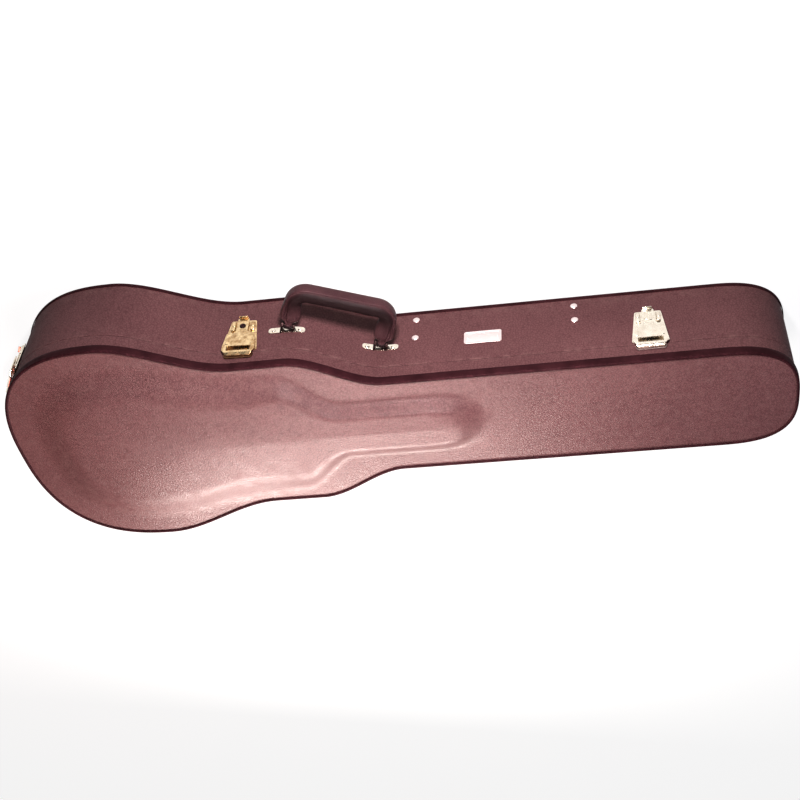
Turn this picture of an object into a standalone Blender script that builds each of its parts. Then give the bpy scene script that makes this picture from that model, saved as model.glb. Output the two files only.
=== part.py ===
"""Hard shell case for an electric guitar, lying closed on its base.

Metres, +Z up. The origin is on the underside of the base, on the long axis,
half way along the case. +X points to the headstock end and +Y to the side
with the handle and the latches.
"""

import math

import bmesh
import bpy
from mathutils import Matrix, Vector

MM = 0.001

# Outline of the case, measured along the long axis from the butt end
LENGTH = 1058 * MM
BOUT_HALF = 184.6 * MM
BOUT_AT = 163 * MM
BUTT_POWER = 2.5
SHELF_START = 338 * MM
SHELF_END = 408 * MM
SHELF_HALF = 131 * MM
NECK_START = 533 * MM
NECK_HALF = 82.8 * MM
HEAD_ROUND = 100 * MM
HEAD_POWER = 2.85

# Heights and walls
DEPTH = 134 * MM
LID_DEPTH = 31 * MM
PARTING = DEPTH - LID_DEPTH
WALL = 6 * MM
BOARD = 5.5 * MM
LID_TOP = 4 * MM
GAP = 0.3 * MM

# Raised panel of the lid, shaped like the guitar under it
PANEL_RISE = 15 * MM
PANEL_SLOPE = 34 * MM
PANEL_RIM = 60 * MM
PANEL_BOUT_HALF = 125 * MM
PANEL_WAIST_HALF = 94 * MM
PANEL_WAIST_AT = 348 * MM
PANEL_SHOULDER_AT = 390 * MM
PANEL_TONGUE_AT = 466 * MM
PANEL_TONGUE_HALF = 41 * MM
PANEL_END = 638 * MM
PANEL_LINER_DROP = 3 * MM

# Bead of the edge binding
BEAD_PROUD = 2.8 * MM
BASE_BEAD_PROUD = 1.8 * MM
BEAD_HEIGHT = 9 * MM
BEAD_OVER = 6 * MM
BEAD_RISE = 1.8 * MM

# Inner lip of the base, which finds the lid
LIP_THICK = 2.5 * MM
LIP_RISE = 5 * MM
LIP_DEPTH = 12 * MM
LIP_CLEAR = 0.5 * MM

# Padding, up to just under the lip
LIP_TO_PAD = 3 * MM
SURROUND_TOP = PARTING - LIP_DEPTH - LIP_TO_PAD
FLOOR_PAD = 13 * MM
PAD_CROWN = 3 * MM
LINING = 5 * MM
CAVITY_BUTT = 28 * MM
CAVITY_BOUT_HALF = 162 * MM
CAVITY_BOUT_AT = 163 * MM
CAVITY_WAIST_AT = 298 * MM
CAVITY_WAIST_HALF = 111 * MM
CAVITY_SHOULDER_AT = 413 * MM
CAVITY_END = 478 * MM
NECK_SLOT_HALF = 36 * MM
HEAD_SLOT_HALF = 52 * MM
HEAD_SLOT_TO_TIP = 47 * MM
HEAD_SLOT_END = LENGTH - HEAD_SLOT_TO_TIP
HEAD_SLOT_CORNER = 21 * MM
HEAD_PAD_STEP = 8 * MM
HEAD_PAD_TOP = SURROUND_TOP - HEAD_PAD_STEP

# Accessory compartment between two dividers
DIVIDER = 10 * MM
FRONT_DIVIDER_AT = 571 * MM
REAR_DIVIDER_TO_TIP = 274.5 * MM
REAR_DIVIDER_AT = LENGTH - REAR_DIVIDER_TO_TIP
FRONT_DIVIDER_STEP = 4 * MM
FRONT_DIVIDER_TOP = SURROUND_TOP - FRONT_DIVIDER_STEP
NECK_NOTCH_HALF = 31 * MM
NECK_NOTCH_DEPTH = 20 * MM
HATCH_UNDER_NOTCH = 4 * MM
HATCH_TOP = FRONT_DIVIDER_TOP - NECK_NOTCH_DEPTH - HATCH_UNDER_NOTCH
HATCH_UNDER_DIVIDER = 2 * MM
REAR_DIVIDER_TOP = HATCH_TOP + HATCH_UNDER_DIVIDER
HATCH_THICK = 4 * MM
HATCH_SIDE_CLEAR = 2 * MM
ROD_RADIUS = 1.5 * MM
KNUCKLE_WALL = 1.5 * MM
LEDGE = 8 * MM
TAB_LENGTH = 26 * MM
TAB_WIDTH = 18 * MM
TAB_THICK = 1.2 * MM

# Rivets that hold the dividers
RIVET_HEAD = 4.8 * MM
RIVET_RISE = 1.8 * MM
RIVET_SHANK = 1.9 * MM
RIVET_GRIP = 5 * MM
FRONT_RIVET_LOW = 17 * MM
FRONT_RIVET_UNDER_TOP = 31.5 * MM
REAR_RIVET_LOW = 18 * MM
REAR_RIVET_UNDER_TOP = 16.5 * MM
FRONT_RIVET_HEIGHTS = (FRONT_RIVET_LOW, FRONT_DIVIDER_TOP - FRONT_RIVET_UNDER_TOP)
REAR_RIVET_HEIGHTS = (REAR_RIVET_LOW, REAR_DIVIDER_TOP - REAR_RIVET_UNDER_TOP)

# Plate for a name, left bare
NAMEPLATE_AT = 662 * MM
NAMEPLATE_WIDTH = 47 * MM
NAMEPLATE_LOW = 52 * MM
NAMEPLATE_HIGH = 73 * MM
SHEET = 1.2 * MM
SHEET_CORNER = 3 * MM

# Carrying handle
HANDLE_LEFT_AT = 410 * MM
HANDLE_RIGHT_AT = 525.5 * MM
HANDLE_Z = 67 * MM
HANDLE_PIVOT_OUT = 8.2 * MM
HANDLE_REACH = 62 * MM
HANDLE_LEAN = 0.0
HANDLE_CORNER = 18 * MM
GRIP_WIDE = 24 * MM
GRIP_THICK = 21 * MM
LEG_WIDE = 16 * MM
LEG_THICK = 27 * MM
FOOT_THICK = 11 * MM
FOOT_WIDE = 9 * MM
FOOT_LENGTH = 7 * MM
BRACKET_LENGTH = 47 * MM
BRACKET_HEIGHT = 10 * MM
EAR_THICK = 3 * MM
EAR_RADIUS = 5 * MM
HANDLE_PIN = 2.2 * MM

# Draw latches, in the frame of the wall: along it, out of it and up
NECK_LATCH_TO_TIP = 180 * MM
LATCHES = {"butt": 23 * MM, "waist": 346 * MM, "neck": LENGTH - NECK_LATCH_TO_TIP}
PLATE_TO_PARTING = 60 * MM
PLATE_LOW = PARTING - PLATE_TO_PARTING
PLATE_LOW_HALF = 17 * MM
PLATE_HIGH_HALF = 24 * MM
PLATE_BELOW_PARTING = 2 * MM
CHEEK_NEAR = 10.3 * MM
CHEEK_FAR = 16 * MM
CHEEK_RISE = 4 * MM
CHEEK_LOW = PLATE_LOW + 4 * MM
CHEEK_HIGH = 17 * MM
CHEEK_TOP = CHEEK_LOW + CHEEK_HIGH
LEVER_PIVOT_TO_PARTING = 19 * MM
LEVER_PIVOT_Z = PARTING - LEVER_PIVOT_TO_PARTING
LEVER_PIVOT_OUT = 3.6 * MM
LEVER_PIN = 1.0 * MM
LEVER_KNUCKLE = 1.8 * MM
LEVER_HALF = 11 * MM
LEVER_HEAD_HALF = 7.8 * MM
LEVER_UNDER_PLATE = 0.5 * MM
LEVER_LOW = PLATE_LOW - LEVER_UNDER_PLATE
LEVER_SHOULDER = 3 * MM
LEVER_TAB_HALF = 6 * MM
LEVER_TAB_OUT = 4 * MM
LEVER_FACE = 5.2 * MM
LEVER_SHEET = 1.2 * MM
PIVOT_TO_PIVOT = 14 * MM
CLAW_PIVOT_Z = LEVER_PIVOT_Z - PIVOT_TO_PIVOT
CLAW_KNUCKLE = 1.6 * MM
CLAW_KNUCKLE_HALF = 6 * MM
CLAW_PIN = 0.8 * MM
CLAW_HALF = 22 * MM
CLAW_ARM = 6 * MM
CLAW_SHEET = 1.2 * MM
CLAW_TAPER = 3 * MM
CLAW_FOOT = 2.6 * MM
CLAW_LOW = CLAW_PIVOT_Z + CLAW_FOOT
WINDOW_UNDER_PARTING = 6 * MM
CLAW_WINDOW_LOW = PARTING - WINDOW_UNDER_PARTING
CLAW_WINDOW = 9 * MM
CLAW_WINDOW_HIGH = CLAW_WINDOW_LOW + CLAW_WINDOW
CLAW_TOP = CLAW_WINDOW_HIGH + CLAW_ARM
STRIKE_OVER_CLAW = 3 * MM
STRIKE_TOP = CLAW_TOP + STRIKE_OVER_CLAW
STRIKE_HALF = 21 * MM
STRIKE_SHELF = 3 * MM
PIN_CLEAR = 0.3 * MM
LOCK_RADIUS = 4 * MM
LOCK_OVER_LOW = 14.5 * MM
LOCK_Z = LEVER_LOW + LOCK_OVER_LOW
LOCK_RISE = 0.8 * MM
LOCK_BACK = 0.8 * MM
KEYWAY = 1.2 * MM

# Hinges, on one straight axis that touches the outline twice
HINGE_OUT = 4.4 * MM
HINGE_KNUCKLE = 3 * MM
HINGE_PIN = 1.4 * MM
HINGE_LENGTH = 44 * MM
HINGE_MIDDLE = 16 * MM
LEAF_CLEAR = 2.2 * MM
LEAF_TO_BEAD = 0.8 * MM
LEAF_DEPTH = LID_DEPTH - BEAD_HEIGHT - LEAF_TO_BEAD - LEAF_CLEAR
WEB_THICK = 2.4 * MM
NECK_HINGE_TO_TIP = 95 * MM
HINGES = {"bout_rear": 143 * MM, "bout_front": 204 * MM, "neck": LENGTH - NECK_HINGE_TO_TIP}

# Number of steps that round shapes are drawn with
BUTT_STEPS = 11
BOUT_STEPS = 7
SHELF_STEPS = 3
SHOULDER_STEPS = 9
NECK_STEPS = 9
HEAD_STEPS = 8
ROUND = 16
SMALL_ROUND = 12
CROSS_STEPS = 16


def smoothstep(value):
    """Run from 0 to 1 with level ends."""
    value = min(1.0, max(0.0, value))
    return value * value * (3.0 - 2.0 * value)


def blend_between(x, start, end, from_value, to_value):
    """Change smoothly from one value to another between two places."""
    return from_value + (to_value - from_value) * smoothstep((x - start) / (end - start))


def rounded_end(distance, length, half, power):
    """Half width of a blunt round end at a distance from its tip."""
    inward = min(1.0, max(0.0, 1.0 - distance / length))
    return half * (1.0 - inward ** power) ** (1.0 / power)


def half_width(x):
    """Half width of the case at x, measured from the butt end."""
    if x <= BOUT_AT:
        return rounded_end(x, BOUT_AT, BOUT_HALF, BUTT_POWER)
    if x <= SHELF_START:
        return blend_between(x, BOUT_AT, SHELF_START, BOUT_HALF, SHELF_HALF)
    if x <= SHELF_END:
        return SHELF_HALF
    if x <= NECK_START:
        return blend_between(x, SHELF_END, NECK_START, SHELF_HALF, NECK_HALF)
    if x <= LENGTH - HEAD_ROUND:
        return NECK_HALF
    return rounded_end(LENGTH - x, HEAD_ROUND, NECK_HALF, HEAD_POWER)


def spaced(start, end, steps):
    """Places between start and end, without the first one."""
    return [start + (end - start) * (i + 1) / steps for i in range(steps)]


def end_places(length, power, steps):
    """Distances from a round end's tip that space its outline evenly."""
    angles = [0.5 * math.pi * (i + 1) / steps for i in range(steps)]
    return [length * (1.0 - math.cos(angle) ** (2.0 / power)) for angle in angles]


def outline_places():
    """Places along the case where the outline has a point, both tips included."""
    places = [0.0]
    places += end_places(BOUT_AT, BUTT_POWER, BUTT_STEPS)
    places += spaced(BOUT_AT, SHELF_START, BOUT_STEPS)
    places += spaced(SHELF_START, SHELF_END, SHELF_STEPS)
    places += spaced(SHELF_END, NECK_START, SHOULDER_STEPS)
    places += spaced(NECK_START, LENGTH - HEAD_ROUND, NECK_STEPS)
    head = end_places(HEAD_ROUND, HEAD_POWER, HEAD_STEPS)[:-1]
    places += [LENGTH - distance for distance in reversed(head)]
    places.append(LENGTH)
    return places


def world_x(x):
    """World X of a place measured from the butt end."""
    return x - LENGTH / 2


def half_outline(offset=0.0):
    """Points of the handle side, from the butt tip to the head tip, moved out by offset."""
    points = [Vector((world_x(x), half_width(x))) for x in outline_places()]
    moved = []
    for i, point in enumerate(points):
        if i == 0:
            normal = Vector((-1.0, 0.0))
        elif i == len(points) - 1:
            normal = Vector((1.0, 0.0))
        else:
            before = (point - points[i - 1]).normalized()
            after = (points[i + 1] - point).normalized()
            tangent = (before + after).normalized()
            normal = Vector((-tangent.y, tangent.x))
        moved.append(point + normal * offset)
    return moved


def full_outline(offset=0.0):
    """Closed outline, anticlockwise seen from above."""
    half = half_outline(offset)
    hinge_side = [Vector((p.x, -p.y)) for p in half]
    handle_side = list(reversed(half))[1:-1]
    return hinge_side + handle_side


def wall_frame(x, side=1):
    """Frame on the outer wall at x: along the wall, out of it, and up."""
    step = 1 * MM
    rise = half_width(x + step) - half_width(x - step)
    tangent = Vector((2 * step, rise * side, 0.0)).normalized()
    normal = Vector((-tangent.y, tangent.x, 0.0)) * side
    along = tangent * side
    frame = Matrix.Identity(4)
    frame.col[0][:3] = along
    frame.col[1][:3] = normal
    frame.col[2][:3] = (0.0, 0.0, 1.0)
    frame.col[3][:3] = (world_x(x), half_width(x) * side, 0.0)
    return frame


def material(name, colour, roughness, metallic=0.0):
    """A plain material for the kind of stuff that the piece is made of."""
    made = bpy.data.materials.new(name)
    made.use_nodes = True
    shader = made.node_tree.nodes["Principled BSDF"]
    shader.inputs["Base Color"].default_value = (*colour, 1.0)
    shader.inputs["Roughness"].default_value = roughness
    shader.inputs["Metallic"].default_value = metallic
    made.diffuse_color = (*colour, 1.0)
    return made


def fresh_material(kind, piece):
    """Each piece has its own material of its kind."""
    colour, roughness, metallic = KINDS[kind]
    return material(kind + "_" + piece, colour, roughness, metallic)


KINDS = {
    "vinyl": ((0.10, 0.045, 0.04), 0.55, 0.0),
    "binding": ((0.02, 0.008, 0.01), 0.4, 0.0),
    "plywood": ((0.45, 0.30, 0.17), 0.7, 0.0),
    "plush": ((0.16, 0.05, 0.06), 0.95, 0.0),
    "brass": ((0.80, 0.58, 0.30), 0.25, 1.0),
    "nickel": ((0.86, 0.80, 0.70), 0.25, 1.0),
    "steel": ((0.55, 0.52, 0.50), 0.35, 1.0),
    "handle": ((0.05, 0.02, 0.02), 0.45, 0.0),
}


def new_object(name, mesh_data, kind):
    """Link an object with a material of its own."""
    made = bpy.data.objects.new(name, mesh_data)
    bpy.context.scene.collection.objects.link(made)
    if kind:
        mesh_data.materials.clear()
        mesh_data.materials.append(fresh_material(kind, name))
    return made


def mesh_from(bm, name):
    """Turn a bmesh into a mesh with its faces pointing out."""
    bmesh.ops.recalc_face_normals(bm, faces=bm.faces)
    made = bpy.data.meshes.new(name)
    bm.to_mesh(made)
    bm.free()
    return made


def prism(points, low, high):
    """Upright prism over a closed outline in plan."""
    bm = bmesh.new()
    bottom = [bm.verts.new((p[0], p[1], low)) for p in points]
    top = [bm.verts.new((p[0], p[1], high)) for p in points]
    bm.faces.new(list(reversed(bottom)))
    bm.faces.new(top)
    for i in range(len(points)):
        j = (i + 1) % len(points)
        bm.faces.new((bottom[i], bottom[j], top[j], top[i]))
    return mesh_from(bm, "prism")


def ring_of_loops(loops):
    """Solid ring whose section runs through loops of equal length."""
    bm = bmesh.new()
    rows = [[bm.verts.new(p) for p in loop] for loop in loops]
    count = len(rows[0])
    for r in range(len(rows)):
        here, after = rows[r], rows[(r + 1) % len(rows)]
        for i in range(count):
            j = (i + 1) % count
            bm.faces.new((here[i], here[j], after[j], after[i]))
    return mesh_from(bm, "ring")


def outline_ring(section):
    """Ring round the case: section lists how far out and how high each corner is."""
    loops = []
    for offset, height in section:
        loops.append([(p.x, p.y, height) for p in full_outline(offset)])
    return ring_of_loops(loops)


def plate(points, low, high, axis="n"):
    """Plate with an outline in two local directions, thick along the third."""
    bm = bmesh.new()

    def corner(a, b, t):
        if axis == "n":
            return (a, t, b)
        return (t, a, b)

    near = [bm.verts.new(corner(a, b, low)) for a, b in points]
    far = [bm.verts.new(corner(a, b, high)) for a, b in points]
    bm.faces.new(near)
    bm.faces.new(list(reversed(far)))
    for i in range(len(points)):
        j = (i + 1) % len(points)
        bm.faces.new((near[j], near[i], far[i], far[j]))
    return mesh_from(bm, "plate")


def box(u, n, z):
    """Box between pairs of limits along three local directions."""
    corners = [(u[0], n[0]), (u[1], n[0]), (u[1], n[1]), (u[0], n[1])]
    return prism(corners, z[0], z[1])


def rod(centre, radius, limits, axis="u", sides=ROUND):
    """Round bar along u (centre is n, z) or along n (centre is u, z)."""
    bm = bmesh.new()
    rings = []
    for place in limits:
        ring = []
        for i in range(sides):
            angle = 2 * math.pi * (i + 0.5) / sides
            a = centre[0] + radius * math.cos(angle)
            b = centre[1] + radius * math.sin(angle)
            ring.append(bm.verts.new((place, a, b) if axis == "u" else (a, place, b)))
        rings.append(ring)
    bm.faces.new(rings[0])
    bm.faces.new(list(reversed(rings[1])))
    for i in range(sides):
        j = (i + 1) % sides
        bm.faces.new((rings[0][i], rings[1][i], rings[1][j], rings[0][j]))
    return mesh_from(bm, "rod")


def rounded_corners(points, radius, steps=3):
    """Outline with each convex corner cut to an arc."""
    result = []
    count = len(points)
    for i in range(count):
        corner = Vector(points[i])
        before = (Vector(points[i - 1]) - corner).normalized()
        after = (Vector(points[(i + 1) % count]) - corner).normalized()
        half = before.angle(after) / 2
        reach = radius / math.tan(half)
        middle = (before + after).normalized()
        centre = corner + middle * (radius / math.sin(half))
        start = corner + before * reach - centre
        end = corner + after * reach - centre
        turn = start.angle_signed(end)
        for k in range(steps + 1):
            spin = Matrix.Rotation(-turn * k / steps, 2)
            result.append(tuple(centre + spin @ start))
    return result


def combine(first, others, operation):
    """Join meshes to the first one, or cut them out of it."""
    body = new_object("body_in_work", first, None)
    tools = []
    for mesh_data in others:
        tool = new_object("tool_in_work", mesh_data, None)
        step = body.modifiers.new("step", "BOOLEAN")
        step.operation = operation
        step.solver = "EXACT"
        step.object = tool
        tools.append(tool)
    graph = bpy.context.evaluated_depsgraph_get()
    graph.update()
    result = bpy.data.meshes.new_from_object(body.evaluated_get(graph))
    for used in [body] + tools:
        old = used.data
        bpy.data.objects.remove(used)
        bpy.data.meshes.remove(old)
    return result


def build(name, kind, joined, cuts=(), frame=None, origin=None, smooth=False):
    """Make a named piece from joined meshes and cuts, with its origin where it turns."""
    mesh_data = joined[0]
    if len(joined) > 1:
        mesh_data = combine(mesh_data, joined[1:], "UNION")
    if cuts:
        mesh_data = combine(mesh_data, cuts, "DIFFERENCE")
    origin = Vector(origin or (0.0, 0.0, 0.0))
    mesh_data.transform(Matrix.Translation(-origin))
    made = new_object(name, mesh_data, kind)
    frame = frame or Matrix.Identity(4)
    made.matrix_world = frame @ Matrix.Translation(origin)
    mesh_data.name = name
    if smooth:
        mesh_data.shade_smooth()
        mesh_data.set_sharp_from_angle(angle=math.radians(35))
    return made


def panel_half_width(x):
    """Half width of the lid's raised panel at x, from the butt end."""
    if x <= BOUT_AT:
        return rounded_end(x - PANEL_RIM, BOUT_AT - PANEL_RIM, PANEL_BOUT_HALF, BUTT_POWER)
    if x <= PANEL_WAIST_AT:
        return blend_between(x, BOUT_AT, PANEL_WAIST_AT, PANEL_BOUT_HALF, PANEL_WAIST_HALF)
    if x <= PANEL_SHOULDER_AT:
        return PANEL_WAIST_HALF
    if x <= PANEL_TONGUE_AT:
        return blend_between(x, PANEL_SHOULDER_AT, PANEL_TONGUE_AT,
                             PANEL_WAIST_HALF, PANEL_TONGUE_HALF)
    return rounded_end(PANEL_END - x, PANEL_TONGUE_HALF, PANEL_TONGUE_HALF, 2.0)


def panel_edge():
    """Points on the raised panel's edge, in plan, on the handle side."""
    places = [PANEL_RIM]
    places += [PANEL_RIM + d for d in end_places(BOUT_AT - PANEL_RIM, BUTT_POWER, BUTT_STEPS)]
    places += spaced(BOUT_AT, PANEL_WAIST_AT, BOUT_STEPS)
    places += spaced(PANEL_WAIST_AT, PANEL_SHOULDER_AT, SHELF_STEPS)
    places += spaced(PANEL_SHOULDER_AT, PANEL_TONGUE_AT, SHOULDER_STEPS)
    places += spaced(PANEL_TONGUE_AT, PANEL_END - PANEL_TONGUE_HALF, NECK_STEPS)
    places += [PANEL_END - d for d in reversed(end_places(PANEL_TONGUE_HALF, 2.0, HEAD_STEPS))]
    places.append(PANEL_END)
    return [Vector((world_x(x), panel_half_width(x))) for x in places]


PANEL_EDGE = panel_edge()


def distance_inside_panel(x, y):
    """Distance from the raised panel's edge, positive inside it."""
    point = Vector((x, abs(y)))
    nearest = 1.0
    for start, end in zip(PANEL_EDGE, PANEL_EDGE[1:]):
        run = end - start
        if run.length < GAP:
            continue
        share = min(1.0, max(0.0, (point - start).dot(run) / run.length_squared))
        nearest = min(nearest, (point - start - run * share).length)
    place = x + LENGTH / 2
    inside = PANEL_RIM < place < PANEL_END and abs(y) < panel_half_width(place)
    return nearest if inside else -nearest


def lid_height(x, y, shrink=0.0):
    """Height of the lid's outer surface over the rim's level."""
    inward = distance_inside_panel(x, y) - shrink
    return (PANEL_RISE - shrink) * smoothstep(0.5 + inward / PANEL_SLOPE)


def domed_sheet(half, upper, lower):
    """Closed sheet over a mirrored outline, between two height functions."""
    bm = bmesh.new()

    def surface(height):
        rows = []
        for i, p in enumerate(half):
            if i in (0, len(half) - 1):
                rows.append([bm.verts.new((p.x, 0.0, height(p.x, 0.0)))])
                continue
            row = []
            for k in range(CROSS_STEPS + 1):
                y = -p.y + 2 * p.y * k / CROSS_STEPS
                row.append(bm.verts.new((p.x, y, height(p.x, y))))
            rows.append(row)
        return rows

    def cells(rows, flip):
        for a, b in zip(rows, rows[1:]):
            for k in range(CROSS_STEPS):
                if len(a) == 1:
                    face = [a[0], b[k], b[k + 1]]
                elif len(b) == 1:
                    face = [a[k], b[0], a[k + 1]]
                else:
                    face = [a[k], b[k], b[k + 1], a[k + 1]]
                if flip:
                    face.reverse()
                bm.faces.new(face)

    top = surface(upper)
    bottom = surface(lower)
    cells(top, False)
    cells(bottom, True)
    for side in (0, -1):
        for i in range(len(half) - 1):
            quad = [top[i][side], top[i + 1][side], bottom[i + 1][side], bottom[i][side]]
            bm.faces.new(quad)
    bmesh.ops.triangulate(bm, faces=[f for f in bm.faces if len(f.verts) == 4])
    return mesh_from(bm, "domed_sheet")


def rivet_places():
    """Where each divider rivet goes: name, place along the case, height and side."""
    places = []
    for divider, x, heights in (("front", FRONT_DIVIDER_AT, FRONT_RIVET_HEIGHTS),
                                ("rear", REAR_DIVIDER_AT, REAR_RIVET_HEIGHTS)):
        for level, height in zip(("low", "high"), heights):
            for side_name, side in (("handle_side", 1), ("hinge_side", -1)):
                name = "divider_rivet_" + divider + "_" + level + "_" + side_name
                places.append((name, x, height, side))
    return places


def rivet_holes():
    """Clearance holes for the divider rivets, in world space."""
    holes = []
    for _, x, height, side in rivet_places():
        hole = rod((0.0, height), RIVET_SHANK + GAP,
                   (-WALL - RIVET_GRIP - 2 * GAP, 2 * GAP), "n", SMALL_ROUND)
        hole.transform(wall_frame(x, side))
        holes.append(hole)
    return holes


def make_base_shell():
    """Board, wall, lip and edge binding of the base."""
    outline = [tuple(p) for p in full_outline()]
    build("base_board", "vinyl", [prism(outline, 0.0, BOARD)])
    section = [(0.0, BOARD + GAP), (0.0, PARTING - GAP / 2),
               (-WALL, PARTING - GAP / 2), (-WALL, BOARD + GAP)]
    build("base_wall", "vinyl", [outline_ring(section)], rivet_holes(), smooth=True)
    lip_out = -WALL - LIP_CLEAR
    lip = [(lip_out, PARTING - LIP_DEPTH), (lip_out, PARTING + LIP_RISE),
           (lip_out - LIP_THICK, PARTING + LIP_RISE), (lip_out - LIP_THICK, PARTING - LIP_DEPTH)]
    build("base_lip", "plywood", [outline_ring(lip)], smooth=True)
    proud = BASE_BEAD_PROUD
    bead = [(GAP, 0.0), (0.6 * proud, 0.0), (proud, 0.3 * BEAD_HEIGHT),
            (proud, 0.6 * BEAD_HEIGHT), (0.6 * proud, 0.9 * BEAD_HEIGHT), (GAP, BEAD_HEIGHT)]
    build("base_binding", "binding", [outline_ring(bead)], smooth=True)


def lid_surface(x, y):
    return DEPTH + lid_height(x, y)


def lid_underside(x, y):
    return lid_surface(x, y) - LID_TOP


def lining_top(x, y):
    return DEPTH - LID_TOP - GAP + lid_height(x, y, PANEL_LINER_DROP)


def lining_bottom(x, y):
    return lining_top(x, y) - LINING


def make_lid():
    """Wall, arched top, edge binding and lining of the lid, which turn on the hinges."""
    start, _ = hinge_axis()
    origin = (start.x, start.y, PARTING)
    section = [(0.0, PARTING + GAP / 2), (0.0, DEPTH - LID_TOP - GAP),
               (-WALL, DEPTH - LID_TOP - GAP), (-WALL, PARTING + GAP / 2)]
    build("lid_wall", "vinyl", [outline_ring(section)], origin=origin, smooth=True)
    sheet = domed_sheet(half_outline(), lid_surface, lid_underside)
    build("lid_top", "vinyl", [sheet], origin=origin, smooth=True)
    bead = [(GAP, DEPTH - BEAD_HEIGHT), (0.7 * BEAD_PROUD, DEPTH - 0.9 * BEAD_HEIGHT),
            (BEAD_PROUD, DEPTH - 0.55 * BEAD_HEIGHT), (0.85 * BEAD_PROUD, DEPTH - 0.1 * BEAD_HEIGHT),
            (0.2 * BEAD_PROUD, DEPTH + BEAD_RISE), (-0.6 * BEAD_OVER, DEPTH + BEAD_RISE),
            (-BEAD_OVER, DEPTH + GAP), (GAP, DEPTH + GAP)]
    build("lid_binding", "binding", [outline_ring(bead)], origin=origin, smooth=True)
    pad = domed_sheet(half_outline(-WALL - LIP_CLEAR), lining_top, lining_bottom)
    build("lid_lining", "plush", [pad], origin=origin, smooth=True)


def cavity_half_width(x):
    """Half width of the hollow for the guitar's body."""
    if x <= CAVITY_BOUT_AT:
        length = CAVITY_BOUT_AT - CAVITY_BUTT
        return rounded_end(x - CAVITY_BUTT, length, CAVITY_BOUT_HALF, BUTT_POWER)
    if x <= CAVITY_WAIST_AT:
        return blend_between(x, CAVITY_BOUT_AT, CAVITY_WAIST_AT,
                             CAVITY_BOUT_HALF, CAVITY_WAIST_HALF)
    if x <= CAVITY_SHOULDER_AT:
        return CAVITY_WAIST_HALF
    return blend_between(x, CAVITY_SHOULDER_AT, CAVITY_END, CAVITY_WAIST_HALF, NECK_SLOT_HALF)


def cavity_places():
    """Places along the hollow for the guitar's body, from its butt end."""
    places = [CAVITY_BUTT]
    length = CAVITY_BOUT_AT - CAVITY_BUTT
    places += [CAVITY_BUTT + d for d in end_places(length, BUTT_POWER, BUTT_STEPS)]
    places += spaced(CAVITY_BOUT_AT, CAVITY_WAIST_AT, BOUT_STEPS)
    places += spaced(CAVITY_WAIST_AT, CAVITY_SHOULDER_AT, SHELF_STEPS)
    places += spaced(CAVITY_SHOULDER_AT, CAVITY_END, SHOULDER_STEPS)
    return places


def mirrored(points):
    """Close a handle-side line of points with its mirror image."""
    return points + [(p[0], -p[1]) for p in reversed(points)]


def crowned_prism(points, low, high, crown, inward):
    """Prism whose top edge is drawn in over the height of its crown."""
    lower = prism(points, low, high)
    bm = bmesh.new()
    bm.from_mesh(lower)
    bm.faces.ensure_lookup_table()
    top = [f for f in bm.faces if f.normal.z > 0.9]
    bmesh.ops.inset_region(bm, faces=top, thickness=inward, depth=0.0, use_even_offset=True)
    top = [f for f in bm.faces if f.normal.z > 0.9 and len(f.verts) > 4]
    inner = {v for f in top for v in f.verts}
    for vertex in {v for f in bm.faces for v in f.verts}:
        if vertex.co.z > high - GAP and vertex not in inner:
            vertex.co.z = high - crown
    bpy.data.meshes.remove(lower)
    return mesh_from(bm, "crowned")


def inner_line(start, end, offset):
    """Handle-side points of the case's inner outline between two places."""
    places = outline_places()
    line = []
    for x, point in zip(places, half_outline(offset)):
        if start - GAP <= x <= end + GAP:
            line.append(tuple(point))
    return line


def make_padding():
    """Foam round and under the guitar, covered in plush."""
    wall_offset = -WALL - LIP_CLEAR
    front = FRONT_DIVIDER_AT - DIVIDER / 2 - GAP
    outer = inner_line(0.0, front, wall_offset)
    outer.append((world_x(front), NECK_HALF + wall_offset))
    inner = [(world_x(x), cavity_half_width(x)) for x in cavity_places()]
    inner.append((world_x(front), NECK_SLOT_HALF))
    floor = BOARD + GAP
    ring = list(reversed(outer[1:])) + [(p[0], -p[1]) for p in outer]
    back = [(p[0], -p[1]) for p in reversed(inner)] + inner[1:]
    build("body_surround", "plush",
          [crowned_prism(ring + back, floor, SURROUND_TOP, PAD_CROWN, PAD_CROWN)], smooth=True)
    bed = [(world_x(x), cavity_half_width(x) - GAP) for x in cavity_places()[1:]]
    build("body_floor_pad", "plush",
          [crowned_prism(mirrored(bed), floor, floor + FLOOR_PAD, PAD_CROWN, PAD_CROWN)],
          smooth=True)
    rear = REAR_DIVIDER_AT + DIVIDER / 2 + GAP
    outer = [(world_x(rear), NECK_HALF + wall_offset)] + inner_line(rear, LENGTH, wall_offset)
    inner = [(world_x(rear), HEAD_SLOT_HALF),
             (world_x(HEAD_SLOT_END - HEAD_SLOT_CORNER), HEAD_SLOT_HALF),
             (world_x(HEAD_SLOT_END), HEAD_SLOT_HALF - HEAD_SLOT_CORNER)]
    ring = outer + [(p[0], -p[1]) for p in reversed(outer[:-1])]
    back = [(p[0], -p[1]) for p in inner] + list(reversed(inner))
    build("head_surround", "plush",
          [crowned_prism(ring + back, floor, HEAD_PAD_TOP, PAD_CROWN, PAD_CROWN)], smooth=True)
    bed = [(p[0] + s * GAP, p[1] - GAP) for p, s in zip(inner, (1, 0, -1))]
    build("head_floor_pad", "plush",
          [crowned_prism(mirrored(bed), floor, floor + FLOOR_PAD, PAD_CROWN, PAD_CROWN)],
          smooth=True)


def hatch_rod_place():
    """Across and height of the rod that the compartment's hatch turns on."""
    knuckle = ROD_RADIUS + PIN_CLEAR + KNUCKLE_WALL
    inside = NECK_HALF - WALL
    return -(inside - LIP_CLEAR - knuckle), HATCH_TOP - knuckle


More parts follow.
